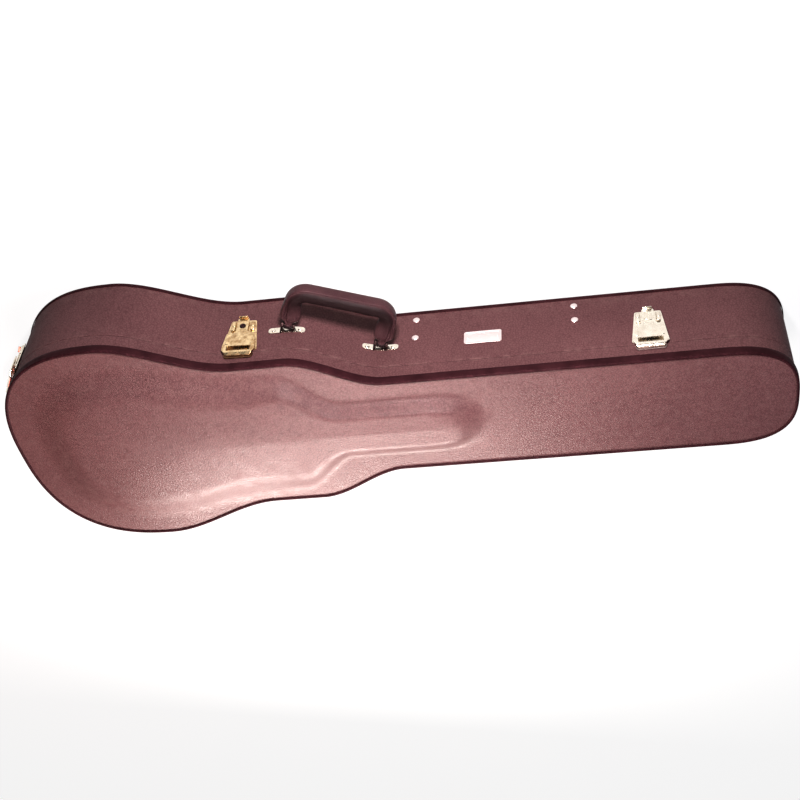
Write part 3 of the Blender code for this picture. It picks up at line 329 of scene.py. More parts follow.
def vinyl(name, rough, gloss):
    """Leather-grained vinyl: pebbles with fine creases, slow colour drift and scuffs."""
    s = Shader(name, Specular_IOR_Level=gloss)
    warp = s.warp(160.0, 0.004)
    pebble = s.cells(430.0, warp, "SMOOTH_F1")
    crease = s.ramp(s.cells(260.0, warp), 0.0, 0.16)
    fine = s.noise(2600.0, 2.0)
    drift = s.ramp(s.noise(7.0, 4.0, 0.6), 0.3, 0.7)
    speck = s.ramp(s.noise(520.0, 3.0, 0.7), 0.42, 0.62, 0.0, 0.55)
    worn = s.times(s.wear_and_shade(), s.ramp(s.noise(90.0, 5.0, 0.65), 0.46, 0.6))
    tone = s.mix(drift, VINYL_DARK, VINYL_LIGHT)
    tone = s.mix(speck, tone, s.mix(0.5, tone, VINYL_SCUFF))
    # Painted shade: the grain's creases are darkened towards 0.45 of the dark tone.
    tone = s.mix(s.times(s.ramp(crease, 1.0, 0.0), 0.45), tone, scaled(0.45, VINYL_DARK))
    tone = s.mix(s.times(worn, 0.6), tone, VINYL_SCUFF)
    height = s.total((pebble, -0.7), (crease, 0.6), (fine, 0.12))
    patches = s.total((s.noise(60.0, 4.0), 1.0), (worn, 0.5))
    roughness = s.ramp(patches, 0.3, 0.9, rough - 0.05, rough + 0.14)
    return s.set(Base_Color=tone, Roughness=roughness, Normal=s.bump(height, 0.00022, 0.7))


def smooth_vinyl(name, dark, light, rough):
    """Smooth vinyl with faint creases across it and rubbed high spots."""
    s = Shader(name, Specular_IOR_Level=0.05)
    drift = s.ramp(s.noise(40.0, 4.0, 0.6), 0.35, 0.7)
    worn = s.times(s.wear_and_shade(), s.ramp(s.noise(220.0, 5.0, 0.7), 0.5, 0.62))
    tone = s.mix(s.times(worn, 0.3), s.mix(drift, dark, light), scaled(2.4, light))
    height = s.total((s.noise(900.0, 3.0, 0.6), 1.0), (s.noise(140.0, 2.0), 0.8))
    roughness = s.ramp(s.noise(130.0, 4.0), 0.3, 0.8, rough - 0.07, rough + 0.12)
    return s.set(Base_Color=tone, Roughness=roughness, Normal=s.bump(height, 0.00018, 0.6))


def plush(name, dark, light):
    """Short-pile plush: tufts, brushed patches and a soft sheen."""
    s = Shader(name, Roughness=0.9, Sheen_Weight=0.55, Sheen_Roughness=0.4,
               Sheen_Tint=(0.9, 0.45, 0.45, 1.0), Specular_IOR_Level=0.15)
    brushed = s.ramp(s.noise(14.0, 5.0, 0.62, distortion=1.2), 0.34, 0.66)
    tuft = s.cells(780.0, s.warp(60.0, 0.012), "F1")
    pile = s.noise(3200.0, 2.0, 0.7)
    nap = s.noise(420.0, 3.0, 0.6, stretch=(1.0, 0.35, 1.0))
    tone = s.mix(brushed, dark, light)
    # Painted shade: the gaps between tufts are darkened towards 0.35 of the dark tone.
    tone = s.mix(s.ramp(tuft, 0.1, 0.75, 0.0, 0.5), tone, scaled(0.35, dark))
    tone = s.mix(s.ramp(pile, 0.45, 0.65, 0.0, 0.4), tone, scaled(1.5, light))
    height = s.total((tuft, -0.8), (pile, 0.5), (nap, 0.7))
    return s.set(Base_Color=tone, Normal=s.bump(height, 0.0007, 0.9))


def metal(name, colour, shade, rough, lines=(1.0, 1.0, 0.06), stained=0.35):
    """Plated sheet: fine scratches, small pits and dull stains."""
    s = Shader(name, Metallic=1.0)
    stain = s.ramp(s.noise(120.0, 5.0, 0.65), 0.42, 0.68)
    scratch = s.noise(2600.0, 3.0, 0.6, stretch=lines)
    pit = s.ramp(s.noise(1500.0, 2.0), 0.66, 0.74)
    tone = s.mix(s.times(stain, stained), colour, shade)
    tone = s.mix(s.times(pit, 0.5), tone, scaled(0.5, shade))
    roughness = s.maths("ADD", s.ramp(stain, 0.0, 1.0, rough - 0.05, rough + 0.12),
                        s.ramp(scratch, 0.3, 0.7, -0.03, 0.09))
    height = s.total((scratch, 0.5), (pit, -1.0), (s.noise(260.0, 2.0), 1.2))
    return s.set(Base_Color=tone, Roughness=roughness, Normal=s.bump(height, 0.00006, 0.7))


def moulded(name, dark, light, rough):
    """Moulded plastic with a leather-like grain, painted shade where its stored value is low and
    polished where it is high.
    """
    s = Shader(name, Specular_IOR_Level=0.14)
    crease = s.ramp(s.cells(620.0, s.warp(300.0, 0.002)), 0.0, 0.2)
    drift = s.ramp(s.noise(25.0, 4.0, 0.6), 0.35, 0.68)
    lit_and_polished = s.wear_and_shade()
    tone = s.mix(drift, dark, light)
    # Painted shade: the grain's creases are darkened towards half the dark tone.
    tone = s.mix(s.times(s.ramp(crease, 1.0, 0.0), 0.4), tone, scaled(0.5, dark))
    # Painted shade: 0.3 of the dark tone where the stored value is low, over most of the grip and
    # on the feet's eyes, which get no value.
    tone = s.mix(lit_and_polished, scaled(0.3, dark), tone)
    dull = s.ramp(s.noise(90.0, 4.0), 0.3, 0.8, rough - 0.04, rough + 0.14)
    roughness = s.total((dull, 1.0), (lit_and_polished, -0.12))
    height = s.total((crease, 1.0), (s.noise(1800.0, 2.0), 0.3))
    return s.set(Base_Color=tone, Roughness=roughness, Normal=s.bump(height, 0.00016, 0.7))


def plywood(name):
    """Birch ply: stretched grain on the faces and glue lines along the edge."""
    s = Shader(name, Specular_IOR_Level=0.3)
    grain = s.noise(260.0, 5.0, 0.6, stretch=(0.08, 0.5, 1.0), distortion=0.6)
    ply = s.add("ShaderNodeTexWave", {"Vector": s.place, "Scale": 260.0, "Distortion": 0.6,
                                      "Detail": 2.0}, bands_direction="Z").outputs["Fac"]
    tone = s.mix(s.ramp(grain, 0.3, 0.7), (0.50, 0.33, 0.17), (0.30, 0.17, 0.08))
    tone = s.mix(s.ramp(ply, 0.72, 0.9, 0.0, 0.35), tone, (0.18, 0.09, 0.04))
    height = s.total((grain, 1.0), (s.noise(900.0), 0.4))
    roughness = s.ramp(grain, 0.2, 0.8, 0.55, 0.8)
    return s.set(Base_Color=tone, Roughness=roughness, Normal=s.bump(height, 0.0002, 0.6))


M_WALL = vinyl("vinyl_wall", 0.6, 0.06)
M_LID = vinyl("vinyl_lid", 0.38, 0.2)
M_BINDING = smooth_vinyl("binding", (0.022, 0.006, 0.008), (0.036, 0.011, 0.014), 0.55)
M_PLUSH = plush("plush_body", (0.12, 0.016, 0.022), (0.22, 0.035, 0.045))
M_BRASS = metal("brass_plate", (0.84, 0.66, 0.42), (0.32, 0.17, 0.07), 0.26, stained=0.8)
M_NICKEL = metal("nickel_plate", (0.90, 0.84, 0.74), (0.45, 0.36, 0.27), 0.2)
M_STEEL = metal("steel_pin", (0.62, 0.58, 0.55), (0.25, 0.22, 0.20), 0.3)
M_BARE = metal("bare_plate", (0.84, 0.73, 0.72), (0.66, 0.54, 0.52), 0.36, (0.05, 1.0, 1.0), 0.15)
# Painted shade: the strikes get darkened copies of nickel and brass.
M_STRIKE = metal("shaded_nickel", (0.34, 0.26, 0.25), (0.16, 0.10, 0.09), 0.42)
M_STRIKE_BRASS = metal("shaded_brass", (0.20, 0.11, 0.07), (0.08, 0.04, 0.02), 0.42)
M_HANDLE = moulded("handle_plastic", (0.046, 0.020, 0.023), (0.072, 0.034, 0.038), 0.5)
# Near-black copy of steel: on the handle's bracket ears and pins it is painted shade at the
# handle's feet; the lock plug uses it too.
M_DARK = metal("near_black_steel", (0.05, 0.03, 0.03), (0.02, 0.01, 0.01), 0.5)
M_STRAP = smooth_vinyl("strap_vinyl", (0.020, 0.007, 0.008), (0.035, 0.014, 0.015), 0.5)
M_PLY = plywood("plywood")


# ---- mesh tools


def link(name, data):
    """Object in the scene for a mesh, light or camera."""
    thing = bpy.data.objects.new(name, data)
    bpy.context.scene.collection.objects.link(thing)
    return thing


def put(name, mesh_data, material, body, replaced=(), angle=40.0):
    """Link a finished mesh as a piece that rides on a body."""
    mesh_data.name = name
    piece = link(name, mesh_data)
    mesh_data.materials.clear()
    mesh_data.materials.append(material)
    mesh_data.shade_smooth()
    mesh_data.set_sharp_from_angle(angle=math.radians(angle))
    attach(piece, body)
    if replaced:
        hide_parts(*replaced)
    return piece


def fit(node, finish, parts, at, material, body, angle=40.0):
    """Join parts made in a local frame into the piece that stands for a CAD node."""
    put(node + "_" + finish, done(gather(parts), at), material, body, [node], angle)


def line_inside(piece, chosen):
    """Give the chosen faces of a covered board the plush of the lining."""
    piece.data.materials.append(M_PLUSH)
    for face in piece.data.polygons:
        if chosen(face):
            face.material_index = 1


def faces_in(face):
    """True for a face of the bent wall that looks into the case."""
    place = face.center
    side = math.copysign(1.0, place.y)
    x = place.x + LENGTH / 2
    before, after = float(half_width(max(x - MM, 0.0))), float(half_width(min(x + MM, LENGTH)))
    out = Vector((before - after, side * 2 * MM, 0.0))
    return abs(face.normal.z) < 0.5 and face.normal.dot(out) < 0.0


def done(bm, at=None):
    """Turn a bmesh into a mesh, moved from a local frame to the case's own."""
    bmesh.ops.recalc_face_normals(bm, faces=bm.faces)
    mesh_data = bpy.data.meshes.new("piece")
    bm.to_mesh(mesh_data)
    bm.free()
    if at is not None:
        mesh_data.transform(at)
    return mesh_data


def opened(mesh_data):
    """Turn a mesh back into a bmesh."""
    bm = bmesh.new()
    bm.from_mesh(mesh_data)
    bpy.data.meshes.remove(mesh_data)
    return bm


def mesh_of(points, faces):
    """Mesh of points and faces, with its normals turned out."""
    spare = bpy.data.meshes.new("spare")
    spare.from_pydata(points.tolist(), [], faces)
    return done(opened(spare))


def paint(mesh_data, values):
    """Store how worn each vertex is; on the handle the value is painted shade instead, 0 where
    darkest.
    """
    layer = mesh_data.attributes.new("wear_and_shade", "FLOAT", "POINT")
    layer.data.foreach_set("value", np.asarray(values, np.float32))


def vertices(mesh_data):
    co = np.empty(len(mesh_data.vertices) * 3)
    mesh_data.vertices.foreach_get("co", co)
    return co.reshape(-1, 3)


def mesh_from_rows(rows, closed):
    """Quads between rows of points: closed into a ring, or with a face on both ends."""
    rows = np.asarray(rows, float)
    count, width = rows.shape[:2]
    faces = []
    for r in range(count if closed else count - 1):
        after = (r + 1) % count
        for i in range(width):
            j = (i + 1) % width
            faces.append((r * width + i, r * width + j, after * width + j, after * width + i))
    if not closed:
        faces.append(tuple(range(width))[::-1])
        faces.append(tuple((count - 1) * width + i for i in range(width)))
    return mesh_of(rows.reshape(-1, 3), faces)


def ring(section):
    """Ring round the case: section lists how far out and how high each corner is."""
    rows = []
    for offset, height in section:
        loop = full_outline(offset)
        rows.append(np.column_stack([loop, np.full(len(loop), height)]))
    return mesh_from_rows(rows, closed=True)


def arc(centre, radius, start, end, steps):
    """Points of an arc, angles in degrees."""
    angles = np.radians(np.linspace(start, end, steps + 1))
    return [(centre[0] + radius * math.cos(a), centre[1] + radius * math.sin(a)) for a in angles]


def rounded(corners, steps=5):
    """Outline with each corner, given with its radius, cut to an arc."""
    result = []
    count = len(corners)
    for i, (*corner, radius) in enumerate(corners):
        corner = Vector(corner)
        before = Vector(corners[i - 1][:2]) - corner
        after = Vector(corners[(i + 1) % count][:2]) - corner
        room = min(before.length, after.length)
        before.normalize()
        after.normalize()
        half = before.angle(after) / 2
        reach = min(min(radius, 0.45 * room) / math.tan(half), 0.48 * room)
        radius = reach * math.tan(half)
        centre = corner + (before + after).normalized() * (radius / math.sin(half))
        start = corner + before * reach - centre
        turn = start.angle_signed(corner + after * reach - centre)
        for k in range(steps + 1):
            result.append(tuple(centre + Matrix.Rotation(-turn * k / steps, 2) @ start))
    return result


def cut(*right, steps=5):
    """Even-sided outline in u and z from its right corners, lowest first, with radii."""
    left = [(-u, z, radius) for u, z, radius in right]
    return rounded(left[:1] + list(right) + left[:0:-1], steps)


def slice_across(bm, normal, places):
    """Cut a bmesh by planes, so that it can bend there."""
    for place in places:
        bmesh.ops.bisect_plane(bm, geom=bm.verts[:] + bm.edges[:] + bm.faces[:],
                               plane_co=Vector(normal) * place, plane_no=normal)


def stamped(outline, low, high, bevel, holes=(), bend=None, cuts=0):
    """Sheet piece with an outline in u and z, thick along n, with rounded edges."""
    bm = bmesh.new()
    edges = []
    for points in (outline, *holes):
        verts = [bm.verts.new((u, 0.0, z)) for u, z in points]
        edges += [bm.edges.new(pair) for pair in zip(verts, verts[1:] + verts[:1])]
    bmesh.ops.triangle_fill(bm, use_beauty=True, use_dissolve=False, edges=edges, normal=(0, -1, 0))
    made = bmesh.ops.extrude_face_region(bm, geom=list(bm.faces))
    far = {g for g in made["geom"] if isinstance(g, bmesh.types.BMVert)}
    for vertex in bm.verts:
        vertex.co.y = high if vertex in far else low
    bmesh.ops.recalc_face_normals(bm, faces=bm.faces)
    rim = [e for e in bm.edges if len(e.link_faces) == 2
           and e.link_faces[0].normal.angle(e.link_faces[1].normal, 0.0) > SHARP_TURN
           and abs(e.verts[0].co.y - e.verts[1].co.y) < 1e-7]
    soften(bm, rim, bevel, 2)
    if cuts:
        us = [v.co.x for v in bm.verts]
        slice_across(bm, (1, 0, 0), np.linspace(min(us), max(us), cuts + 2)[1:-1])
    if bend:
        for vertex in bm.verts:
            vertex.co.y += bend(vertex.co.x)
    return bm


def soften(bm, edges, bevel, segments):
    """Round the given edges."""
    bmesh.ops.bevel(bm, geom=edges, offset=bevel, segments=segments, profile=0.5,
                    affect="EDGES", clamp_overlap=True)


def lathe(profile, centre, axis, steps):
    """Turned piece: profile lists radius and place along the axis."""
    rows = []
    for radius, place in profile:
        row = []
        for i in range(steps):
            a = 2 * math.pi * i / steps
            p, q = centre[0] + radius * math.cos(a), centre[1] + radius * math.sin(a)
            row.append((p, place, q) if axis == "n" else (place, p, q))
        rows.append(row)
    return opened(mesh_from_rows(rows, closed=False))


def barrel(low, high, end, steps, centre=(0.0, 0.0)):
    """Turned piece along u; end lists radius and inset from its bore or middle outwards."""
    profile = [(radius, low + inset) for radius, inset in end]
    profile += [(radius, high - inset) for radius, inset in end[::-1]]
    return lathe(profile, centre, "u", steps)


def dome(centre, radius, base, rise, steps=28):
    """Head of a rivet: a low dome with a rolled rim."""
    profile = [(radius, base), (radius, base + 0.25 * rise)]
    for k in range(1, 9):
        a = 0.5 * math.pi * k / 8
        profile.append((radius * math.cos(a) ** 0.8 if k < 8 else 0.02 * radius,
                        base + 0.25 * rise + 0.75 * rise * math.sin(a)))
    return lathe(profile, centre, "n", steps)


def block(u, n, z, bevel, segments=3):
    """Block between limits with every edge rounded."""
    bm = bmesh.new()
    bmesh.ops.create_cube(bm, size=1.0)
    for vertex in bm.verts:
        for axis, limits in enumerate((u, n, z)):
            vertex.co[axis] = limits[1] if vertex.co[axis] > 0 else limits[0]
    soften(bm, bm.edges[:], bevel, segments)
    return bm


def gather(parts):
    """Join bmeshes into the first one."""
    first = parts[0]
    for other in parts[1:]:
        spare = bpy.data.meshes.new("spare")
        other.to_mesh(spare)
        other.free()
        first.from_mesh(spare)
        bpy.data.meshes.remove(spare)
    return first


def local_frame(along, out, place, height=0.0):
    """Matrix of a frame on the wall: along it, out of it and up."""
    m = Matrix.Identity(4)
    m.col[0][:3] = (along[0], along[1], 0.0)
    m.col[1][:3] = (out[0], out[1], 0.0)
    m.col[3][:3] = (place[0], place[1], height)
    return m


def wall_line(at, side):
    """The wall's line seen from a frame, as a function of the place along it."""
    flat = at.copy()
    flat.col[3][2] = 0.0
    p = half_outline(0.0, 8) * (1, side)
    q = np.column_stack([p, np.zeros(len(p)), np.ones(len(p))]) @ np.array(flat.inverted()).T
    order = np.argsort(q[:, 0])
    return lambda u: float(np.interp(u, q[order, 0], q[order, 1]))


# ---- shell


def near(z, height, reach):
    """1 at a height, fading to 0 over its reach."""
    return np.exp(-((z - height) / reach) ** 2)


def band(node, finish, section, wear_and_shade, material, body):
    """Ring piece that stands for a CAD node, with wear by height."""
    mesh_data = ring(section)
    paint(mesh_data, wear_and_shade(vertices(mesh_data)[:, 2]))
    return put(node + "_" + finish, mesh_data, material, body, [node])


def wall_section(heights, rim, turn):
    """Section of a bent wall whose rounded rim is up (1) or down (-1)."""
    r = RIM_ROUND
    return ([(0.0, z) for z in heights]
            + arc((-r, rim - turn * r), r, 0, 90 * turn, 5)
            + arc((-WALL + r, rim - turn * r), r, 90 * turn, 180 * turn, 5)
            + [(-WALL, heights[0])])


def shell():
    """Wall, board and binding of the base."""
    low, high = BOARD + GAP, PARTING - GAP / 2
    section = wall_section((low, low + 20 * MM, low + 55 * MM, high - 4 * MM), high, 1)
    piece = band("base_wall", "vinyl", section,
                 lambda z: near(z, high, RIM_WEAR) * 0.7 + 0.5 * near(z, low, 14 * MM),
                 M_WALL, "base")
    line_inside(piece, faces_in)

    bm = bmesh.new()
    loop = full_outline(-0.05 * MM)
    lower, upper = ([bm.verts.new((*p, z)) for p in loop] for z in (0.0, BOARD))
    bm.faces.new(lower)
    bm.faces.new(upper)
    for i in range(len(loop)):
        j = (i + 1) % len(loop)
        bm.faces.new((lower[i], lower[j], upper[j], upper[i]))
    piece = put("base_board_vinyl", done(bm), M_WALL, "base", ["base_board"])
    line_inside(piece, lambda face: face.normal.z > 0.5)

    b, h = BASE_BEAD_PROUD, BASE_BEAD_HEIGHT
    section = [(GAP, 0.15 * MM), (0.5 * b, 0.0)]
    section += [(0.5 * b + 0.5 * b * math.sin(t), 0.5 * h - 0.5 * h * math.cos(t))
                for t in np.linspace(0.25, 0.9, 9) * math.pi]
    section += [(GAP, h)]
    band("base_binding", "bead", section, lambda z: np.clip(1.0 - z / (5 * MM), 0, 1),
         M_BINDING, "base")


# ---- lid


def panel_half(x):
    """Half width of the raised panel."""
    x = np.asarray(x, float)
    return np.select(
        [x <= BOUT_AT, x <= PANEL_WAIST_AT, x <= PANEL_SHOULDER_AT, x <= PANEL_TONGUE_AT],
        [round_end(x - PANEL_RIM, BOUT_AT - PANEL_RIM, PANEL_BOUT_HALF, BUTT_POWER),
         between(x, BOUT_AT, PANEL_WAIST_AT, PANEL_BOUT_HALF, PANEL_WAIST_HALF),
         np.full_like(x, PANEL_WAIST_HALF),
         between(x, PANEL_SHOULDER_AT, PANEL_TONGUE_AT, PANEL_WAIST_HALF, PANEL_TONGUE_HALF)],
        round_end(PANEL_END - x, PANEL_TONGUE_HALF, PANEL_TONGUE_HALF, ROUND_POWER))


def lid_distance(x, y):
    """Distance from the raised panel's edge, positive inside it."""
    places = np.concatenate([
        [PANEL_RIM],
        PANEL_RIM + end_steps(BOUT_AT - PANEL_RIM, BUTT_POWER, 44),
        np.linspace(BOUT_AT, PANEL_WAIST_AT, 29)[1:],
        np.linspace(PANEL_WAIST_AT, PANEL_SHOULDER_AT, 7)[1:],
        np.linspace(PANEL_SHOULDER_AT, PANEL_TONGUE_AT, 25)[1:],
        np.linspace(PANEL_TONGUE_AT, PANEL_END - PANEL_TONGUE_HALF, 21)[1:],
        PANEL_END - end_steps(PANEL_TONGUE_HALF, ROUND_POWER, 24)[::-1],
        [PANEL_END]])
    edge = np.stack([places - LENGTH / 2, panel_half(places)], 1)
    start, run = edge[:-1], np.diff(edge, axis=0)
    keep = np.linalg.norm(run, axis=1) > 1e-7
    start, run = start[keep], run[keep]
    point = np.stack([x, np.abs(y)], -1)[..., None, :]
    share = np.clip(((point - start) * run).sum(-1) / (run ** 2).sum(-1), 0.0, 1.0)
    nearest = np.linalg.norm(point - start - run * share[..., None], axis=-1).min(-1)
    place = x + LENGTH / 2
    inside = (place > PANEL_RIM) & (place < PANEL_END) & (np.abs(y) < panel_half(place))
    return np.where(inside, nearest, -nearest)


def lid_rise(x, y, shrink=0.0):
    """Height of the lid's surface over its rim."""
    inward = lid_distance(x, y) - shrink
    slope = between(x + LENGTH / 2, PANEL_WAIST_AT - 20 * MM, PANEL_TONGUE_AT - 16 * MM,
                    PANEL_SLOPE_BOUT, PANEL_SLOPE_TONGUE)
    camber = PANEL_CAMBER * smooth(inward / CAMBER_REACH)
    return (PANEL_RISE - shrink) * smooth(0.5 + inward / slope) + camber


def grid_sheet(offset, across, upper, lower):
    """Closed sheet over the outline between two height functions."""
    tip_half = 0.6 * MM
    half = half_outline(offset, 3)
    half[:, 1] = np.maximum(half[:, 1], tip_half)
    x = np.repeat(half[:, :1], across + 1, 1)
    y = half[:, 1:] * np.linspace(-1.0, 1.0, across + 1)
    points = np.concatenate([np.stack([x, y, height(x, y)], -1).reshape(-1, 3)
                             for height in (upper, lower)])
    count, width = x.shape
    shift = count * width
    faces = []
    for r in range(count - 1):
        for i in range(width - 1):
            a = r * width + i
            quad = (a, a + width, a + width + 1, a + 1)
            faces.append(quad)
            faces.append(tuple(shift + quad[k] for k in (0, 3, 2, 1)))
    border = [r * width for r in range(count)]
    border += [(count - 1) * width + i for i in range(1, width)]
    border += [r * width + width - 1 for r in range(count - 2, -1, -1)]
    border += [i for i in range(width - 2, 0, -1)]
    for a, b in zip(border, border[1:] + border[:1]):
        faces.append((a, b, shift + b, shift + a))
    return mesh_of(points, faces)


def lid():
    """Wall, arched top and binding of the lid."""
    low, high = PARTING + GAP / 2, DEPTH - LID_TOP - GAP
    piece = band("lid_wall", "vinyl", wall_section((high, high - 12 * MM, low + 4 * MM), low, -1),
                 lambda z: 0.7 * near(z, low, RIM_WEAR), M_WALL, "lid")
    line_inside(piece, faces_in)

    top = grid_sheet(-0.02 * MM, 56, lambda x, y: DEPTH + lid_rise(x, y),
                     lambda x, y: DEPTH - LID_TOP + lid_rise(x, y))
    co = vertices(top)
    paint(top, 0.2 + 0.15 * near(lid_distance(co[:, 0], co[:, 1]), 0.0, 10 * MM))
    put("lid_top_vinyl", top, M_LID, "lid", ["lid_top"], angle=60)

    b, over, rise = BEAD_PROUD, BEAD_OVER, BEAD_RISE
    low = DEPTH - BEAD_HEIGHT
    section = [(GAP, low), (0.55 * b, low + 0.1 * MM), (0.75 * b, low + 0.7 * MM)]
    section += [(0.8 * b + 0.2 * b * math.sin(t * math.pi), low + 1.4 * MM + t * 7 * MM)
                for t in np.linspace(0.0, 1.0, 6)]
    section += arc((0.8 * b - BEAD_CORNER, DEPTH + rise - BEAD_CORNER), BEAD_CORNER, 12, 90, 6)
    section += [(-0.55 * over, DEPTH + rise), (-0.8 * over, DEPTH + 0.86 * rise),
                (-0.95 * over, DEPTH + 0.55 * rise), (-over, DEPTH + 0.1 * MM),
                (-over + 0.5 * MM, DEPTH - 0.2 * MM), (GAP, DEPTH - 0.2 * MM)]
    band("lid_binding", "bead", section, lambda z: near(z, DEPTH + 0.5 * rise, 1.6 * MM),
         M_BINDING, "lid")


# ---- handle


def grip():
    """Handle from foot to foot with a groove along it, and where it gets painted shade: over the
    grip, all but its edge farthest from the wall.

    Its section grows by swell from foot to leg, and by share from leg to grip.
    """
    around = 56
    centre_u, centre_v = HANDLE_HALF - HANDLE_CORNER, HANDLE_REACH - HANDLE_CORNER
    side = [(HANDLE_HALF, v) for v in np.linspace(-2.5 * MM, centre_v, 26)]
    side += arc((centre_u, centre_v), HANDLE_CORNER, 0, 90, 14)[1:]
    side += [(u, HANDLE_REACH) for u in np.linspace(centre_u, 0.0, 12)[1:]]
    path = np.array([(-u, v) for u, v in side] + side[::-1][1:])
    angle = 2 * math.pi * (np.arange(around) + 0.5) / around
    rows, wear_and_shade = [], []
    for i, point in enumerate(path):
        tangent = path[min(len(path) - 1, i + 1)] - path[max(0, i - 1)]
        tangent /= np.linalg.norm(tangent)
        across = np.array([tangent[1], -tangent[0]])
        share = smooth((point[1] - 0.35 * HANDLE_REACH) / (0.55 * HANDLE_REACH))
        swell = smooth((point[1] - FOOT_START) / (0.2 * HANDLE_REACH))
        wide = FOOT_WIDE + (LEG_WIDE - FOOT_WIDE) * swell + (GRIP_WIDE - LEG_WIDE) * share
        thick = FOOT_THICK + (LEG_THICK - FOOT_THICK) * swell + (GRIP_THICK - LEG_THICK) * share
        a, b = (np.abs(wave) ** HANDLE_SQUARE * np.sign(wave) * 0.5 * size
                for wave, size in ((np.cos(angle), thick), (np.sin(angle), wide)))
        groove_at = -(0.22 + 0.12 * share) * thick
        groove_deep = (3.6 - 1.4 * share) * MM * swell
        groove = np.exp(-((a - groove_at) / (1.6 * MM)) ** 4)
        b -= np.sign(b) * groove_deep * groove * np.clip(np.abs(b) / (0.3 * wide), 0, 1)
        place = point[None, :] + across[None, :] * a[:, None]
        rows.append(np.column_stack([place[:, 0], place[:, 1], b]))
        # Painted shade: 1 on the legs and the grip's edge farthest from the wall, down to 0 over
        # the rest of the grip.
        wear_and_shade.append(1.0 - share * smooth((a / thick + 0.43) / 0.2))
    mesh_data = mesh_from_rows(rows, closed=False)
    paint(mesh_data, np.concatenate(wear_and_shade))
    return opened(mesh_data)


def handle():
    """Moulded handle with eyes at its feet, its brackets and its pins."""
    at = local_frame(HANDLE_ALONG, HANDLE_OUT, HANDLE_POS, HANDLE_HEIGHT)
    eye = [(HANDLE_PIN + PIN_CLEAR, 0.0), (EAR_RADIUS - 0.8 * MM, 0.0),
           (EAR_RADIUS - 0.2 * MM, 0.3 * MM), (EAR_RADIUS, 0.9 * MM)]
    parts = [grip()]
    for foot in (-HANDLE_HALF, HANDLE_HALF):
        parts.append(barrel(foot - FOOT_THICK / 2, foot + FOOT_THICK / 2, eye, 32))
    fit("handle_grip", "moulded", parts, at, M_HANDLE, "handle", angle=50)

    start = FOOT_THICK / 2 + 2 * GAP
    end = start + EAR_THICK
    pin = [(0.1 * MM, 0.0), (HANDLE_PIN - 0.5 * MM, 0.0), (HANDLE_PIN, 0.5 * MM)]
    u, z = BRACKET_LENGTH / 2, BRACKET_HEIGHT / 2
    outline = cut((u, -z, BRACKET_ROUND), (u, z, BRACKET_ROUND), steps=7)
    for name, sign in (("left", -1), ("right", 1)):
        local = at @ Matrix.Translation((sign * HANDLE_HALF, 0.0, 0.0))
        line = wall_line(local, 1)
        parts = [stamped(outline, GAP, FACE, 0.4 * MM, bend=line, cuts=17)]
        ears = []
        for ear in (-1, 1):
            inner, outer = sorted((ear * start, ear * end))
            ears.append(ear_plate(inner, outer, line(0.5 * (inner + outer)) + GAP))
            rivet = ear * (0.5 * (u + end) + 0.6 * MM)
            parts.append(dome((rivet, 0.0), 3.1 * MM, line(rivet) + FACE - 0.1 * MM, 1.5 * MM))
        bracket = "handle_bracket_" + name
        fit(bracket, "plated", parts, local, M_NICKEL, "base")
        # The ears are near-black: painted shade at the handle's feet.
        put(bracket + "_ears", done(gather(ears), local), M_DARK, "base", ())
        fit("handle_pin_" + name, "turned", [barrel(-end, end, pin, 24)], local, M_DARK, "base")


def ear_plate(inner, outer, foot):
    """Upright ear from the plate at foot to a round end about the pivot."""
    outline = [(foot, -EAR_RADIUS)] + arc((0.0, 0.0), EAR_RADIUS, -90, 90, 14)
    outline += [(foot, EAR_RADIUS)]
    bm = bmesh.new()
    rows = [[bm.verts.new((u, n, z)) for n, z in outline] for u in (inner, outer)]
    bm.faces.new(rows[0])
    bm.faces.new(rows[1][::-1])
    for i in range(len(outline)):
        j = (i + 1) % len(outline)
        bm.faces.new((rows[0][j], rows[0][i], rows[1][i], rows[1][j]))
    soften(bm, [e for e in bm.edges if abs(e.verts[0].co.x - e.verts[1].co.x) < 1e-9],
           0.35 * MM, 2)
    return bm


# ---- latches


